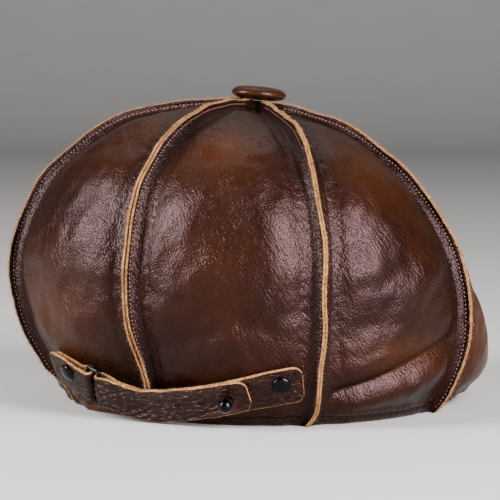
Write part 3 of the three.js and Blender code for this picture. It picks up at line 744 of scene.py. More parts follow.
def gore_kinds(rows, columns, at_rim):
    """The hem's inside and the folded rim show grain, and its end inside the cap is cut."""
    front = np.full((rows - 1, columns - 1), GRAIN)
    back = np.full((rows - 1, columns - 1), FLESH)
    back[ROWS[:-1] >= HEM_LEVEL + HEM_STEP / 2] = GRAIN
    back[np.isclose(ROWS[:-1], HEM_LEVEL)] = CUT
    edge = np.where(at_rim & np.roll(at_rim, -1), GRAIN, CUT)
    return np.concatenate([front.ravel(), back.ravel(), np.tile(edge, EDGE_ROWS + 1)])


def gore_piece(gore):
    level = ROWS[:, None]
    start, end = gore * SEAM_ANGLE, (gore + 1) * SEAM_ANGLE
    spread = np.linspace(0, 1, PANEL_COLUMNS)
    across = (EVEN * spread + (1 - EVEN) * 0.5 * (1 - np.cos(math.pi * spread)))[None, :]
    reach = plain_curve(np.full(level.shape, start + SEAM_ANGLE / 2), level)[..., 0]
    begin = np.minimum(PANEL_START, FLARE_SHARE * reach)
    flare = ((begin - RIB_HALF) / (PANEL_START - RIB_HALF))[:, 0]
    margin = np.degrees(np.arcsin(begin / reach))
    angle = start + margin + (SEAM_ANGLE - 2 * margin) * across
    level = np.broadcast_to(level, angle.shape)
    across = np.broadcast_to(across, angle.shape)
    from_seam = np.radians(np.minimum(angle - start, end - angle)) * reach
    rise = panel_rise(gore, angle, across, level, from_seam, begin)
    wall = np.where(level > HEM_LEVEL, HEM_THICK, WALL)
    left_out, left_in = rib_chain(gore, 1, flare)
    right_out, right_in = rib_chain(gore + 1, -1, flare)
    outer = crown_point(angle, level, rise)
    inner = crown_point(angle, level, rise - wall)
    front = np.concatenate([np.stack(left_out, 1), outer, np.stack(right_out[::-1], 1)], 1)
    back = np.concatenate([np.stack(left_in, 1), inner, np.stack(right_in[::-1], 1)], 1)
    rows, columns = front.shape[:2]
    at_rim = border_walk(np.arange(rows * columns).reshape(rows, columns)) >= (rows - 1) * columns
    bulge = np.where(at_rim, RIM_BULGE, EDGE_BULGE)
    kinds = gore_kinds(rows, columns, at_rim)
    fields = gore_fields(gore, angle, across, level, from_seam, reach)
    name = f"gore_{gore}"
    piece = leather_sheet(name, front, back, SHEET, bulge, EDGE_ROUGH, EDGE_ROWS, gore, kinds, fields)
    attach(piece, "root")
    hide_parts(f"crown_panel_{gore}")
    return piece


gores = [gore_piece(gore) for gore in range(SEAMS)]
print("gores:", len(gores), "faces:", sum(len(g.data.polygons) for g in gores))

# %% [markdown]
# ## Thread and fibres along lines
# Stitches and loose fibres repeat along a line, which is work for Geometry Nodes. The tree
# walks a curve with an even pitch, puts a small shape on every point with the curve's own
# rotation, adds a seeded wobble, and turns it all into one mesh with a material. The finished
# mesh is taken from the modifier, so nothing is left to evaluate later.

# %% Geometry Nodes tree
def line_tree(name, shape):
    """shape is 'stitch' for a rounded thread or 'fibre' for a thin spike."""
    tree = bpy.data.node_groups.new(name, "GeometryNodeTree")
    tree.interface.new_socket("Curve", in_out="INPUT", socket_type="NodeSocketGeometry")
    for label in ("Pitch", "Length", "Thickness", "Wobble", "Scatter"):
        tree.interface.new_socket(label, in_out="INPUT", socket_type="NodeSocketFloat")
    tree.interface.new_socket("Seed", in_out="INPUT", socket_type="NodeSocketInt")
    tree.interface.new_socket("Material", in_out="INPUT", socket_type="NodeSocketMaterial")
    tree.interface.new_socket("Mesh", in_out="OUTPUT", socket_type="NodeSocketGeometry")

    def node(kind, settings=None, inputs=None):
        made = tree.nodes.new(kind)
        for key, value in (settings or {}).items():
            setattr(made, key, value)
        for key, value in (inputs or {}).items():
            if isinstance(value, bpy.types.NodeSocket):
                tree.links.new(value, made.inputs[key])
            else:
                made.inputs[key].default_value = value
        return made.outputs

    given = node("NodeGroupInput")

    def product(first, second):
        return node("ShaderNodeMath", dict(operation="MULTIPLY"), {0: first, 1: second})[0]

    def either_way(reach):
        """A random vector whose parts lie between -reach and reach."""
        inputs = {0: product(reach, -1.0), 1: reach, "Seed": given["Seed"]}
        return node("FunctionNodeRandomValue", dict(data_type="FLOAT_VECTOR"), inputs)[0]

    ends = {"Curve": given["Curve"], "Length": given["Pitch"]}
    walk = node("GeometryNodeCurveToPoints", dict(mode="LENGTH"), ends)
    shift = either_way(given["Scatter"])
    moved = node("GeometryNodeSetPosition", {}, {"Geometry": walk["Points"], "Offset": shift})[0]
    turn = either_way(given["Wobble"])
    turned = node("FunctionNodeRotateRotation", {}, {0: walk["Rotation"], 1: turn})[0]
    if shape == "stitch":
        sizes = {"Segments": 6, "Rings": 5, "Radius": 0.5}
        solid = node("GeometryNodeMeshUVSphere", {}, sizes)["Mesh"]
        shortest, longest = 0.92, 1.06
    else:
        sizes = {"Vertices": 3, "Radius Top": 0.0, "Radius Bottom": 0.5, "Depth": 1.0}
        solid = node("GeometryNodeMeshCone", {}, sizes)["Mesh"]
        shortest, longest = 0.3, 1.0
    limits = {2: shortest, 3: longest, "Seed": given["Seed"]}
    vary = node("FunctionNodeRandomValue", dict(data_type="FLOAT"), limits)[1]
    long = product(given["Length"], vary)
    size = node("ShaderNodeCombineXYZ", {}, {0: given["Thickness"], 1: given["Thickness"], 2: long})[0]
    instances = {"Points": moved, "Instance": solid, "Rotation": turned, "Scale": size}
    placed = node("GeometryNodeInstanceOnPoints", {}, instances)[0]
    real = node("GeometryNodeRealizeInstances", {}, {0: placed})[0]
    smooth = node("GeometryNodeSetShadeSmooth", {}, {0: real})[0]
    finished = node("GeometryNodeSetMaterial", {}, {"Geometry": smooth, "Material": given["Material"]})[0]
    node("NodeGroupOutput", {}, {"Mesh": finished})
    return tree


def along_lines(name, tree, lines, material, slot, seed=1, **sizes):
    """lines are arrays of points in mm. Sizes are the tree's own inputs, in mm or radians."""
    curve = bpy.data.curves.new(name + "_lines", "CURVE")
    curve.dimensions = "3D"
    for line in lines:
        row = curve.splines.new("POLY")
        row.points.add(len(line) - 1)
        row.points.foreach_set("co", np.column_stack([line * MM, np.ones(len(line))]).ravel())
    carrier = bpy.data.objects.new(name + "_lines", curve)
    bpy.context.scene.collection.objects.link(carrier)
    modifier = carrier.modifiers.new("walk", "NODES")
    modifier.node_group = tree
    values = {key: value * (1 if key == "Wobble" else MM) for key, value in sizes.items()}
    values.update(Seed=seed, Material=material)
    for socket in tree.interface.items_tree:
        if socket.name in values:
            modifier[socket.identifier] = values[socket.name]
    ready = carrier.evaluated_get(bpy.context.evaluated_depsgraph_get())
    mesh = bpy.data.meshes.new_from_object(ready)
    bpy.data.objects.remove(carrier)
    piece = bpy.data.objects.new(name, mesh)
    bpy.context.scene.collection.objects.link(piece)
    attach(piece, "root")
    return piece


stitch_tree = line_tree("stitches", "stitch")
fibre_tree = line_tree("fibres", "fibre")
print("trees:", stitch_tree.name, fibre_tree.name)

# %% [markdown]
# ## Stitches and fibres of the crown
# A seam is sewn through its rib, a little below the raw edge, and the hem is sewn through a few
# millimetres above the rim. The stitch lines are asked from the same functions as the gores, so
# they lie on the leather. Short fibres stand out of all the cut edges.

# %% Crown stitches and fibres
RIB_PITCH = 2.0
STITCH_OUT = 0.12
# Below this height in mm no stitch or fibre is set, so that none reaches into the floor
LOWEST_LINE = 2.2


def seam_lines():
    lines = []
    for seam in range(SEAMS):
        level = ROWS[ROWS > 0.25]
        angle = np.full(level.shape, seam * SEAM_ANGLE)
        share, half = RIB[STITCHED]
        for side in (1, -1):
            height, lean, opening = rib_shape(seam, level, side)
            aside = lean * share**2 + side * (half + STITCH_OUT + opening * share**2)
            line = crown_point(angle, level, height * share, aside)
            lines.append(line[line[:, 2] > LOWEST_LINE])
    return lines


def hem_line():
    angle = np.linspace(0, 360, 1441)
    rim = plain_curve(angle, np.full(angle.shape, float(RIM)))
    fine = np.linspace(HEM_LEVEL, LAST_LEVEL, 60)
    rows = plain_curve(np.repeat(angle[:, None], len(fine), 1), np.repeat(fine[None], len(angle), 0))
    away = np.linalg.norm(rows - rim[:, None], axis=-1)
    level = np.array([np.interp(-HEM_LINE, -row, fine) for row in away])
    across = (angle / SEAM_ANGLE) % 1
    puff = along_levels(PUFFS, level) * (1 - np.abs(2 * across - 1) ** 2.6)
    return crown_point(angle, level, puff - STITCH_OUT)


def rib_top_lines():
    lines = []
    for seam in range(SEAMS):
        angle = np.full(ROWS.shape, seam * SEAM_ANGLE)
        for side in (1, -1):
            height, lean, opening = rib_shape(seam, ROWS, side)
            for half in (0.3, 0.8):
                line = crown_point(angle, ROWS, height + 0.02, lean + side * (half + opening))
                lines.append(line[line[:, 2] > LOWEST_LINE])
    return lines


seam_stitches = along_lines("seam_stitches", stitch_tree, seam_lines(), dark_thread, "crown_leather",
                            seed=3, Pitch=RIB_PITCH, Length=0.95, Thickness=0.5, Wobble=0.16, Scatter=0.06)
hem_stitches = along_lines("hem_stitches", stitch_tree, [hem_line()], hem_thread, "crown_leather",
                           seed=4, Pitch=HEM_PITCH, Length=3.0, Thickness=0.62, Wobble=0.07, Scatter=0.05)
rib_fibres = along_lines("rib_fibres", fibre_tree, rib_top_lines(), fibre_ends, "crown_leather",
                         seed=5, Pitch=0.4, Length=1.9, Thickness=0.2, Wobble=1.7, Scatter=0.35)
print("faces:", [len(p.data.polygons) for p in (seam_stitches, hem_stitches, rib_fibres)])

# %% [markdown]
# ## Turned pieces
# The button, its post, the rivets and the stud are round. Each is a profile turned about its
# own axis and then moved to its seat. A seat is a small frame on the crown's lower wall: one
# axis runs round the crown, one up the wall, and one out of it.

# %% Turned pieces
TURN_STEPS = 72


def turned(pairs, steps=TURN_STEPS, wobble=None):
    """Points and faces of a profile of (radius, height) that starts and ends on the axis."""
    pairs = np.array(pairs, float)
    turn = np.linspace(0, 2 * math.pi, steps, endpoint=False)
    radius = np.repeat(pairs[1:-1, 0][:, None], steps, 1)
    height = np.repeat(pairs[1:-1, 1][:, None], steps, 1)
    if wobble:
        radius, height = wobble(radius, height, turn[None])
    rings = np.stack([radius * np.cos(turn), radius * np.sin(turn), height], -1).reshape(-1, 3)
    points = np.concatenate([[[0, 0, pairs[0, 1]]], rings, [[0, 0, pairs[-1, 1]]]])
    number = 1 + np.arange(len(rings)).reshape(len(pairs) - 2, steps)
    wrapped = np.concatenate([number, number[:, :1]], 1)
    faces = grid_quads(wrapped).tolist()
    faces += [[0, int(b), int(a)] for a, b in zip(wrapped[0], wrapped[0][1:])]
    faces += [[len(points) - 1, int(a), int(b)] for a, b in zip(wrapped[-1], wrapped[-1][1:])]
    return points, faces


def dome(radius, height, base, start, end, steps):
    turn = np.radians(np.linspace(start, end, steps + 1))
    return [(max(radius * math.cos(t), 0.0), base + height * math.sin(t)) for t in turn]


def level_at(angle, height):
    fine = np.linspace(5, RIM, 600)
    heights = plain_curve(np.full(600, float(angle)), fine)[:, 1]
    return np.interp(-height, -heights, fine)


def seat(angle, height, lift):
    """A matrix whose axes run round the crown, up its wall and out of it."""
    curve = lambda z: plain_curve(np.array(float(angle)), np.array(level_at(angle, z)))
    above, below = curve(height + 4), curve(max(height - 4, 0.01))
    lean = math.atan2(above[0] - below[0], above[1] - below[1])
    turn = math.radians(angle)
    outward = Vector((-math.sin(turn), math.cos(turn), 0))
    round_way = Vector((-math.cos(turn), -math.sin(turn), 0))
    up = outward * math.sin(lean) + Vector((0, 0, math.cos(lean)))
    out = round_way.cross(up)
    centre = outward * (curve(height)[0] + lift / math.cos(lean)) + Vector((0, AXIS_Y, height))
    return Matrix.Translation(centre) @ Matrix((round_way, up, out)).transposed().to_4x4()


def moved(points, matrix):
    turn = np.array(matrix.to_3x3())
    return np.asarray(points) @ turn.T + np.array(matrix.translation)


def round_piece(name, pairs, matrix, material, node, wobble=None, steps=TURN_STEPS):
    points, faces = turned(pairs, steps, wobble)
    piece = new_piece(name, moved(points, matrix), faces, [material])
    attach(piece, "root")
    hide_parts(node)
    return piece


print("seat of the first rivet:", [round(v, 1) for v in seat(-23.2, 21.3, 9.0).translation])

# %% [markdown]
# ## The button
# The button is a flattened dome over a rounder underside. One exponent below 1 on the radius
# blunts its rim, and a small wave round the lower edge gathers the leather into tucks. The post
# below it is plain, because only its shadow is ever seen.

# %% The button
BUTTON_RADIUS = 13.5
BUTTON_THICK = 6.8
BUTTON_BLUNT = 0.55
BUTTON_SEAT = Matrix.Translation((0, AXIS_Y, 148.8)) @ Matrix.Rotation(math.radians(5), 4, "X") @ \
    Matrix.Rotation(math.radians(-3.5), 4, "Y")


def covered(radius, height, turn):
    """Leather drawn over a button gathers in small tucks at its lower edge."""
    tuck = np.cos(turn * 17 + 0.8 * np.sin(turn * 3)) + 0.6 * np.cos(turn * 29 + 1.1)
    low = np.exp(-(((height - 1.0) / 1.3) ** 2)) * np.clip(radius / BUTTON_RADIUS, 0, 1)
    uneven = 0.12 * np.sin(turn * 2 + 0.7) + 0.07 * np.sin(turn * 5 + 2)
    return radius + low * 0.16 * tuck + uneven * (radius > 8), height + 0.05 * np.sin(turn * 3 + radius)


EDGE = BUTTON_THICK * 0.44
ROUND = [*dome(1, EDGE, EDGE, -84, -5, 13), *dome(1, BUTTON_THICK - EDGE, EDGE, 0, 89, 26)]
BUTTON = [(0, 0.05), (3, 0.03), (6.5, 0.0),
          *((BUTTON_RADIUS * r**BUTTON_BLUNT, z) for r, z in ROUND), (0, BUTTON_THICK)]
button = round_piece("button", BUTTON, BUTTON_SEAT, button_leather, "top_button",
                     covered, 96)
for label, value in (("along", 0.0), ("across", 0.0), ("seam", 30.0), ("wear_and_sheen", 0.25)):
    set_field(button, label, np.full(len(button.data.vertices), value))
POST = [(0, -10.8), (12.2, -10.8), (12.5, -10.6), (12.5, -9.8), (12.2, -9.6), (4.4, -9.6), (4.2, -9.4),
        (4.2, -0.3), (0, -0.3)]
post = round_piece("post", POST, BUTTON_SEAT, plain_brass, "button_post")
print("button top in mm:", round(max(v.co.z for v in button.data.vertices) / MM, 1))

# %% [markdown]
# ## The straps
# A strap is a row of stations, each with a centre, a direction across and a width. The tables
# give a few of them, and a smooth curve fills in the rest. The tab and the long strap fold
# back round a bar of the metal loop, so their stations run out, round the bar and back.

# %% Strap tables
STRAP_THICK = 1.7
# How far a strap's cut edge rounds out, how rough it is and how far it drops, in mm
STRAP_EDGE, STRAP_EDGE_ROUGH, STRAP_EDGE_DROP = 0.16, 0.06, 0.22
STRAP_EDGE_ROWS = 2
# Shares of a strap's half width where it begins to round off and where it shows its cut
BORDER, CUT_BORDER = 0.93, 0.97
# How far from a strap's end its cut begins to show, in mm
END_BORDER = 0.26
END_CORNER = 5.0
STRAP_STEP = 0.55
STRAP_COLUMNS = 33
# Rows: angle round the crown, height, lift off the crown, width
TAB_FRONT = [(-31.0, 22.2, 6.3, 20.5), (-27.2, 20.7, 6.8, 20.5), (-24.0, 19.2, 7.4, 19.5),
             (-20.8, 17.4, 8.1, 17.5)]
TAB_BACK = [(-20.8, 17.4, 4.3, 17.5), (-24.0, 19.2, 4.3, 19.5), (-27.2, 20.7, 4.3, 20.5),
            (-31.0, 22.2, 4.2, 20.5)]
STRAP_FRONT = [(28.4, 17.7, 8.3, 17), (25.5, 16.3, 9.1, 17), (22.5, 15.0, 9.3, 17), (16.0, 12.3, 8.6, 17),
               (8.0, 9.9, 7.7, 17), (0.0, 8.7, 7.3, 17), (-6.0, 10.4, 7.9, 17), (-11.0, 12.8, 8.5, 17)]
STRAP_BACK = [(-11.0, 12.8, 4.0, 17), (-6.0, 10.4, 4.9, 17), (0.0, 8.7, 5.3, 17), (8.0, 9.9, 5.6, 17),
              (16.0, 12.3, 6.4, 17), (22.5, 15.0, 7.1, 17), (25.6, 16.3, 7.1, 17)]
STUD_STRAP = [(18.8, 13.4, 4.7, 16.5), (24.0, 15.4, 5.0, 17), (29.0, 17.8, 4.5, 18),
              (36.0, 20.8, 3.8, 18.6), (41.0, 22.2, 3.4, 18.6)]
LOOP_SEAT = seat(-15.9, 15.2, 6.4) @ Matrix.Rotation(-math.radians(17), 4, "Z")
LOOP_WIDTH, LOOP_TALL, LOOP_BAR, LOOP_THICK = 9.2, 23.0, 1.8, 1.6
FOLD_RADIUS = 2.3
ANCHOR_RIVET = dict(angle=-23.2, height=21.3, top=9.0, bottom=0.3)
STUD_RIVET = dict(angle=35.9, height=21.6, top=5.1, bottom=-0.8)
CLOSING_STUD = dict(angle=23.1, height=13.4, top=10.8, bottom=3.5)
HOLES = [dict(angle=9.4, height=9.8, top=8.6), dict(angle=15.4, height=11.6, top=9.2)]


def table_stations(rows, parts=6):
    """Centre, direction across the strap and width, smooth through a table's rows."""
    rows = np.array(rows, float)
    padded = np.concatenate([rows[:1], rows, rows[-1:]])
    stations = []
    for k in range((len(rows) - 1) * parts + 1):
        i = min(k // parts, len(rows) - 2)
        angle, height, lift, width = spline(*padded[i:i + 4], k / parts - i)
        frame_here = seat(angle, height, lift)
        stations.append((*frame_here.translation, *frame_here.col[1][:3], width))
    return stations


def turn_stations(side, width):
    """Round one bar of the loop: side is -1 for the left bar and 1 for the right one."""
    bar = (LOOP_WIDTH - LOOP_BAR) / 2
    stations = []
    for turn in np.linspace(0, math.pi, 17):
        place = Vector((side * (bar - FOLD_RADIUS * math.sin(turn)), 0, FOLD_RADIUS * math.cos(turn)))
        stations.append((*(LOOP_SEAT @ place), *LOOP_SEAT.col[1][:3], width))
    return stations


def even_stations(stations, step=STRAP_STEP):
    """The same run with stations at an even step, and the length up to each."""
    stations = np.array(stations)
    gaps = np.linalg.norm(np.diff(stations[:, :3], axis=0), axis=1)
    stations = stations[np.concatenate([[True], gaps > 0.05])]
    length = np.concatenate([[0], np.cumsum(np.linalg.norm(np.diff(stations[:, :3], axis=0), axis=1))])
    count = int(length[-1] / step) + 1
    wanted = np.linspace(0, length[-1], count)
    wanted = np.sort(np.concatenate([wanted, [END_BORDER, length[-1] - END_BORDER]]))
    padded = np.concatenate([stations[:1], stations, stations[-1:]])
    i = np.clip(np.searchsorted(length, wanted, side="right") - 1, 0, len(stations) - 2)
    f = ((wanted - length[i]) / (length[i + 1] - length[i]))[:, None]
    return spline(padded[i], padded[i + 1], padded[i + 2], padded[i + 3], f), wanted


print("loop at:", [round(v, 1) for v in LOOP_SEAT.translation])

# %% [markdown]
# ## From stations to a strap
# At each station we know the way along and the way across, and their cross product points out
# of the strap. The ends are cut round by narrowing the last stations along a circle. Relief is
# given as a function, so every strap can have its own creases, and what stands up is painted
# lighter, partly as rub wear and partly as painted highlight.

# %% Strap builder
def stretched_waves(along, across, long_mm, wide_mm, count, seed, slant=0.0):
    """Creases: waves that are long one way and short the other."""
    draw = np.random.default_rng(seed)
    total = np.zeros(np.broadcast(along, across).shape)
    for _ in range(count):
        kx = 2 * math.pi / long_mm * draw.uniform(-1, 1)
        ky = 2 * math.pi / wide_mm * draw.uniform(0.7, 1.3)
        total = total + np.sin(kx * along + ky * (across + slant * along) + draw.uniform(0, 6.3))
    return total / math.sqrt(count / 2)


def strap_piece(name, stations, round_start, round_end, node, relief, seed):
    run, length = even_stations(stations)
    centre, up, width = run[:, :3], run[:, 3:6], run[:, 6]
    way = np.gradient(centre, axis=0)
    way /= np.linalg.norm(way, axis=1, keepdims=True)
    across = up - way * np.sum(up * way, 1)[:, None]
    across /= np.linalg.norm(across, axis=1, keepdims=True)
    out = np.cross(way, across)
    if out[0] @ (centre[0] - (0, AXIS_Y, centre[0][2])) < 0:
        out = -out
    near_end = np.full(len(length), np.inf)
    if round_start:
        near_end = np.minimum(near_end, length)
    if round_end:
        near_end = np.minimum(near_end, length[-1] - length)
    short = np.clip(END_CORNER - near_end, 0, END_CORNER)
    half = width / 2 - (END_CORNER - np.sqrt(END_CORNER**2 - short**2))
    edge_wave = 0.12 * stretched_waves(length, 0.0, 9.0, 1e9, 8, seed + 5)
    side = np.concatenate([[-1], np.linspace(-CUT_BORDER, CUT_BORDER, STRAP_COLUMNS), [1]])
    beside = side[None] * (half + edge_wave)[:, None]
    along = np.broadcast_to(length[:, None], beside.shape)
    rounded = STRAP_EDGE_DROP * np.clip(np.abs(side) - BORDER, 0, 1)[None] / (1 - BORDER)
    raised = relief(along, beside, length[-1])
    rise = STRAP_THICK / 2 + raised - rounded
    spot = centre[:, None] + across[:, None] * beside[..., None]
    front = spot + out[:, None] * rise[..., None]
    back = spot - out[:, None] * (STRAP_THICK / 2 - 0.1 * np.abs(side)[None, :, None] ** 8)
    # Painted highlight and rub wear: raised creases are made lighter in colour.
    worn_and_sheen = np.clip(1.6 * raised - 0.3, 0, 0.6)
    fields = dict(along=along, across=beside, seam=np.full(beside.shape, 25.0), wear_and_sheen=worn_and_sheen)
    rows, columns = beside.shape
    face = np.full((rows - 1, columns - 1), GRAIN)
    face[:, [0, -1]] = CUT
    face[[0, -1] if round_start else [-1], :] = CUT
    cells = (rows - 1) * (columns - 1)
    edge = 2 * (rows + columns - 2) * (STRAP_EDGE_ROWS + 1)
    kinds = np.concatenate([face.ravel(), np.full(cells, FLESH), np.full(edge, CUT)])
    finishes = [strap_leather, flesh_side, raw_edge]
    piece = leather_sheet(name, front, back, finishes, STRAP_EDGE, STRAP_EDGE_ROUGH, STRAP_EDGE_ROWS,
                          seed, kinds, fields)
    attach(piece, "root")
    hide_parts(node)
    lines = [spot[:, 0], spot[:, -1]]
    if round_start:
        lines.append(spot[0])
    if round_end:
        lines.append(spot[-1])
    return piece, [line[line[:, 2] > LOWEST_LINE] for line in lines]


def drill(piece, places, radius, folded=False):
    """Cuts round holes with a Boolean, square to the crown at each place."""
    for place in places:
        points, faces = turned([(0, -15), (radius, -15), (radius, 15), (0, 15)], 24)
        matrix = seat(place["angle"], place["height"], place["top"])
        cutter = new_piece("cutter", moved(points, matrix), faces, piece.data.materials)
        cutter.data.polygons.foreach_set("material_index", [CUT] * len(cutter.data.polygons))
        modifier = piece.modifiers.new("hole", "BOOLEAN")
        modifier.operation = "DIFFERENCE"
        modifier.solver = "EXACT"
        modifier.use_self = folded
        modifier.object = cutter
        ready = piece.evaluated_get(bpy.context.evaluated_depsgraph_get())
        mesh = bpy.data.meshes.new_from_object(ready)
        piece.modifiers.clear()
        piece.data = mesh
        bpy.data.objects.remove(cutter)


print("strap builder ready")

# %% [markdown]
# ## The tab and the short strap
# Both are riveted to the crown. The tab runs round the left bar of the loop and comes back
# below itself. Their creases are fine and shallow, over a slow unevenness.

# %% Tab and short strap
def tab_relief(along, beside, total):
    creases = 0.07 * stretched_waves(along, beside, 6.0, 2.4, 14, 71)
    return creases + 0.12 * stretched_waves(along, beside, 26.0, 14.0, 8, 72)


def short_relief(along, beside, total):
    creases = 0.06 * stretched_waves(along, beside, 7.0, 2.6, 14, 75)
    return creases + 0.15 * stretched_waves(along, beside, 20.0, 12.0, 8, 76)


tab_run = table_stations(TAB_FRONT) + turn_stations(-1, 17.5) + table_stations(TAB_BACK)
tab, tab_lines = strap_piece("tab", tab_run, True, True, "anchor_tab", tab_relief, 41)
short_run = table_stations(STUD_STRAP)
short_strap, short_lines = strap_piece("short_strap", short_run, False, True, "stud_strap",
                                       short_relief, 43)
print("tab faces:", len(tab.data.polygons), "short strap faces:", len(short_strap.data.polygons))

# %% [markdown]
# ## The long strap
# The long strap is the most handled piece: it is creased along its length, diagonally near the
# loop, and puckered round the stud and the holes that were punched for it. We first build its
# bare run to find where the holes fall, and then add ridges and a slit at those places.

# %% The long strap
strap_run = table_stations(STRAP_FRONT) + turn_stations(1, 17.0) + table_stations(STRAP_BACK)
bare, bare_length = even_stations(strap_run)


def along_bare(place):
    target = np.array(seat(place["angle"], place["height"], place["top"]).translation)
    half = len(bare) // 2
    i = np.argmin(np.linalg.norm(bare[:half, :3] - target, axis=1))
    up = bare[i, 3:6] / np.linalg.norm(bare[i, 3:6])
    return bare_length[i], float((target - bare[i, :3]) @ up)


STUD_SPOT = along_bare(CLOSING_STUD)
HOLE_SPOTS = [along_bare(place) for place in HOLES]


def strap_relief(along, beside, total):
    from_loop = np.clip(1 - np.abs(along - total / 2 + 14) / 26, 0, 1)
    creases = stretched_waves(along, beside, 14.0, 2.3, 18, 81)
    slanted = stretched_waves(along, beside, 60.0, 3.0, 10, 82, slant=0.55)
    rise = 0.12 * creases * (1 - 0.6 * from_loop) + 0.18 * slanted * from_loop
    rise = rise + 0.18 * stretched_waves(along, beside, 34.0, 16.0, 8, 83)
    on_front = along < total / 2 - 6
    for s, t in HOLE_SPOTS:
        away = np.hypot(along - s, beside - t)
        rise = rise + on_front * 0.5 * np.exp(-(((away - 1.45) / 0.5) ** 2))
    s, t = STUD_SPOT
    away = np.hypot(along - s, beside - t)
    rise = rise + on_front * 0.45 * np.exp(-(((away - 4.3) / 0.8) ** 2))
    rise = rise + on_front * 0.3 * np.exp(-(((away - 6.6) / 0.7) ** 2)) * (beside > t)
    far = max(spot[0] for spot in HOLE_SPOTS)
    middle = np.interp(along, [s, far], [t, HOLE_SPOTS[0][1]])
    slit = (along > s) & (along < far) & on_front
    rise = rise - slit * 0.6 * np.exp(-(((beside - middle) / 0.4) ** 2))
    return rise


strap, strap_lines = strap_piece("strap", strap_run, True, True, "back_strap", strap_relief, 42)
drill(strap, HOLES, 0.95, folded=True)
drill(strap, [CLOSING_STUD], 1.5, folded=True)
drill(short_strap, [CLOSING_STUD, STUD_RIVET], 1.5)
drill(tab, [ANCHOR_RIVET], 1.5)
drill(gores[0], [STUD_RIVET], 1.5)
drill(gores[7], [ANCHOR_RIVET], 1.5)
all_strap_lines = tab_lines + short_lines + strap_lines
edge_fibres = along_lines("edge_fibres", fibre_tree, all_strap_lines, fibre_ends, "strap_leather",
                          seed=6, Pitch=0.3, Length=0.9, Thickness=0.14, Wobble=1.6, Scatter=0.45)
print("strap faces:", len(strap.data.polygons), "fibre faces:", len(edge_fibres.data.polygons))

# %% [markdown]
# ## Metal
# The rivets are low domes with a rolled rim, and the stud is a ball on a short neck. The loop
# is a rounded bar swept round a rectangle with soft corners.

# %% Metal pieces
RIVET_RADIUS = 4.35
SHANK = 1.15


def shank(place):
    """The plain disc inside the cap, and the shank that starts on it."""
    drop = place["bottom"] - place["top"]
    return [(0, drop - 0.8), (3.1, drop - 0.8), (3.4, drop - 0.6), (3.4, drop - 0.1), (3.3, drop),
            (SHANK, drop)]


def rivet_profile(place):
    rim = [(RIVET_RADIUS - 0.35, 0.0), (RIVET_RADIUS - 0.1, 0.1), (RIVET_RADIUS, 0.3)]
    cap = dome(RIVET_RADIUS, 1.45, 0.4, 4, 90, 20)
    return [*shank(place), (SHANK, 0.0), *rim, *cap]


def stud_profile(place):
    return [*shank(place), (SHANK, 0.1), *dome(3.3, 2.8, 2.8, -66, 90, 34)]


def rivet(name, place, profile, node):
    matrix = seat(place["angle"], place["height"], place["top"])
    return round_piece(name, profile(place), matrix, black_metal, node)


tab_rivet = rivet("tab_rivet", ANCHOR_RIVET, rivet_profile, "anchor_rivet")
strap_rivet = rivet("strap_rivet", STUD_RIVET, rivet_profile, "stud_rivet")
stud = rivet("stud", CLOSING_STUD, stud_profile, "closing_stud")


def loop_piece():
    x, y, corner = (LOOP_WIDTH - LOOP_BAR) / 2, (LOOP_TALL - LOOP_BAR) / 2, 1.3
    path = []
    for cx, cy, start in ((x, y, 0), (-x, y, 90), (-x, -y, 180), (x, -y, 270)):
        for turn in np.radians(np.linspace(start, start + 90, 9)):
            path.append((cx - math.copysign(corner, cx) + corner * math.cos(turn),
                         cy - math.copysign(corner, cy) + corner * math.sin(turn),
                         math.cos(turn), math.sin(turn)))
    path = np.array(path)
    turn = np.linspace(0, 2 * math.pi, 20, endpoint=False)
    squared = lambda value: np.sign(value) * np.abs(value) ** 0.75
    wide = squared(np.cos(turn)) * LOOP_BAR / 2
    thick = squared(np.sin(turn)) * LOOP_THICK / 2
    x_ring = path[:, None, 0] + path[:, None, 2] * wide
    y_ring = path[:, None, 1] + path[:, None, 3] * wide
    points = np.stack([x_ring, y_ring, np.broadcast_to(thick, x_ring.shape)], -1)
    number = np.arange(points.shape[0] * points.shape[1]).reshape(points.shape[:2])
    wrapped = np.pad(number, ((0, 1), (0, 1)), mode="wrap")
    placed = moved(points.reshape(-1, 3), LOOP_SEAT)
    piece = new_piece("loop", placed, grid_quads(wrapped).tolist(), [black_metal])
    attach(piece, "root")
    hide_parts("strap_loop")
    return piece


loop = loop_piece()
print("metal pieces:", [p.name for p in (tab_rivet, strap_rivet, stud, loop)])

# %% [markdown]
# ## The peak
# The peak is hidden in the picture, so it is made as such caps have it: a short curved visor of
# two leathers sewn round the edge, tucked under the hem. Its outline is a small table from the
# middle to the tip, mirrored.

# %% The peak
PEAK_HALF_SPAN = 46.0
PEAK_THICK = 3.0
PEAK_TUCK = 3.4
PEAK_EDGE = np.array([(0.0, 58, 4.6), (0.3, 54, 2.9), (0.55, 39, 0.9), (0.8, 20, 0.6), (1.0, 6, 1.2)])
PEAK_STITCH_IN = 3.4


def peak_edge(across):
    """Reach and height of the outer edge for an array of shares from the middle to a tip."""
    padded = np.concatenate([PEAK_EDGE[1:2], PEAK_EDGE, PEAK_EDGE[-1:]])
    i = np.clip(np.searchsorted(PEAK_EDGE[:, 0], across, side="right") - 1, 0, len(PEAK_EDGE) - 2)
    f = ((across - PEAK_EDGE[i, 0]) / (PEAK_EDGE[i + 1, 0] - PEAK_EDGE[i, 0]))[..., None]
    value = spline(padded[i], padded[i + 1], padded[i + 2], padded[i + 3], f)
    return value[..., 1], value[..., 2]


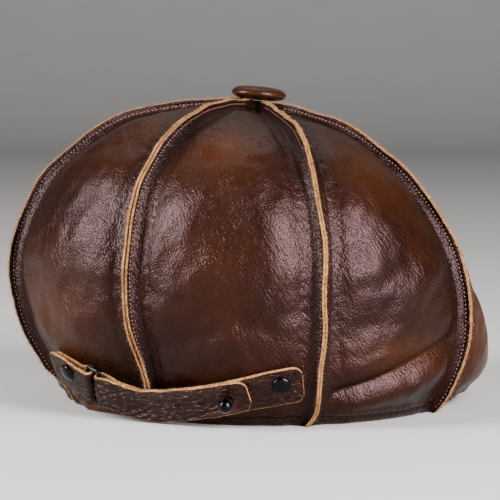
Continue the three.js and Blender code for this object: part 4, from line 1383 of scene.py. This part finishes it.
def peak_point(across, out, rise):
    """across runs from -1 to 1, out from the hem to the edge, rise up from the underside."""
    angle = 180 + across * PEAK_HALF_SPAN
    rim = plain_curve(angle, np.full(angle.shape, float(RIM)))
    reach, edge = peak_edge(np.abs(across))
    start = rim[..., 1] - 0.3 - PEAK_THICK
    distance = rim[..., 0] - PEAK_TUCK + reach * out
    height = start + (edge - start) * out + rise
    turn = np.radians(angle)
    return np.stack([-np.sin(turn) * distance, np.cos(turn) * distance + AXIS_Y, height], -1)


def peak_piece():
    across, out = np.meshgrid(np.linspace(-1, 1, 150), np.linspace(0, 1, 56), indexing="ij")
    reach, _ = peak_edge(np.abs(across))
    from_edge = reach * (1 - out)
    groove = 0.3 * np.exp(-(((from_edge - PEAK_STITCH_IN) / 0.7) ** 2))
    low = peak_point(across, out, groove * 0.8)
    soft = 0.12 * slow_waves(low, 30.0, 8, 91) * np.clip(out * 4, 0, 1)
    high = peak_point(across, out, PEAK_THICK - groove + soft * 0.5)
    seam = np.clip(from_edge, 0, 40)
    fields = dict(along=from_edge, across=across * 80, seam=seam + 2, wear_and_sheen=0.25 * out)
    finishes = [peak_leather, peak_leather, raw_edge]
    piece = leather_sheet("visor", high, low, finishes, 0.3, 0.05, 3, 8, None, fields)
    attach(piece, "root")
    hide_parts("peak")
    return piece


def peak_stitch_lines():
    across = np.linspace(-0.97, 0.97, 400)
    reach, _ = peak_edge(np.abs(across))
    out = 1 - PEAK_STITCH_IN / reach
    keep = out > 0.35
    return [peak_point(across[keep], out[keep], np.full(keep.sum(), h)) for h in (PEAK_THICK - 0.18, 0.12)]


visor = peak_piece()
peak_stitches = along_lines("peak_stitches", stitch_tree, peak_stitch_lines(), dark_thread, "peak_leather",
                            seed=7, Pitch=3.4, Length=2.8, Thickness=0.6, Wobble=0.06, Scatter=0.04)
print("visor faces:", len(visor.data.polygons))

# %% [markdown]
# ## Floor and lamps
# A pale floor that curves up behind the cap hides the horizon. Two large soft lamps stand left
# and right of the camera: each gore mirrors them as one long highlight on its left and one on
# its right, which is what shows that it is puffed. A weak lamp above lifts the top.

# %% Floor and lamps
def add_floor():
    s = Shader("floor_paper")
    tone = s.noise(60.0, 3.0, 0.5)
    s.set(Base_Color=s.mix(tone, (0.29, 0.286, 0.282), (0.31, 0.306, 0.302)))
    s.set(Roughness=0.8 + tone * 0.05)
    run = [(-4000.0, 0.0), (-1500.0, 0.0), (-700.0, 0.0), (0.0, 0.0), (900.0, 0.0), (2000.0, 0.0)]
    run += [(2000 + 900 * math.sin(t), 900 - 900 * math.cos(t)) for t in np.radians(np.linspace(6, 90, 15))]
    run += [(2900.0, 2000.0), (2900.0, 4500.0)]
    turn = math.radians(CAMERA_ROUND)
    ahead = np.array([math.sin(turn), -math.cos(turn), 0])
    aside = np.array([math.cos(turn), math.sin(turn), 0])
    points = [ahead * far + aside * wide + (0, 0, up - 0.1) for far, up in run for wide in (-5000, 5000)]
    faces = [[2 * k, 2 * k + 1, 2 * k + 3, 2 * k + 2] for k in range(len(run) - 1)]
    mesh = bpy.data.meshes.new("floor")
    mesh.from_pydata([tuple(p * MM) for p in points], [], faces)
    mesh.polygons.foreach_set("use_smooth", [True] * len(faces))
    mesh.materials.append(s.material)
    floor = bpy.data.objects.new("floor", mesh)
    bpy.context.scene.collection.objects.link(floor)
    return floor


def add_lamp(name, round_degrees, up_degrees, distance, size, watts, colour):
    """round_degrees is measured from the camera, to the right where positive."""
    azimuth = math.radians(CAMERA_ROUND + round_degrees)
    up = math.radians(up_degrees)
    away = Vector((-math.sin(azimuth) * math.cos(up), math.cos(azimuth) * math.cos(up), math.sin(up)))
    target = Vector((0, AXIS_Y * MM, 0.07))
    light = bpy.data.lights.new(name, "AREA")
    light.shape = "RECTANGLE"
    light.size, light.size_y = size
    light.energy = watts
    light.color = colour
    lamp = bpy.data.objects.new(name, light)
    lamp.location = target + away * distance
    lamp.rotation_euler = away.to_track_quat("Z", "Y").to_euler()
    bpy.context.scene.collection.objects.link(lamp)
    return lamp


floor = add_floor()
add_lamp("left lamp", -68, 24, 1.3, (0.4, 0.9), 76.0, (1.0, 0.98, 0.97))
add_lamp("right lamp", 40, 21, 1.3, (0.7, 1.05), 118.0, (1.0, 0.97, 0.97))
add_lamp("top lamp", 180, 60, 1.6, (1.2, 0.6), 6.0, (1.0, 1.0, 1.0))
world = bpy.data.worlds.new("studio")
world.use_nodes = True
world.node_tree.nodes["Background"].inputs["Color"].default_value = (0.7, 0.71, 0.73, 1)
world.node_tree.nodes["Background"].inputs["Strength"].default_value = 0.05
bpy.context.scene.world = world
print("lamps:", len(bpy.data.lights))
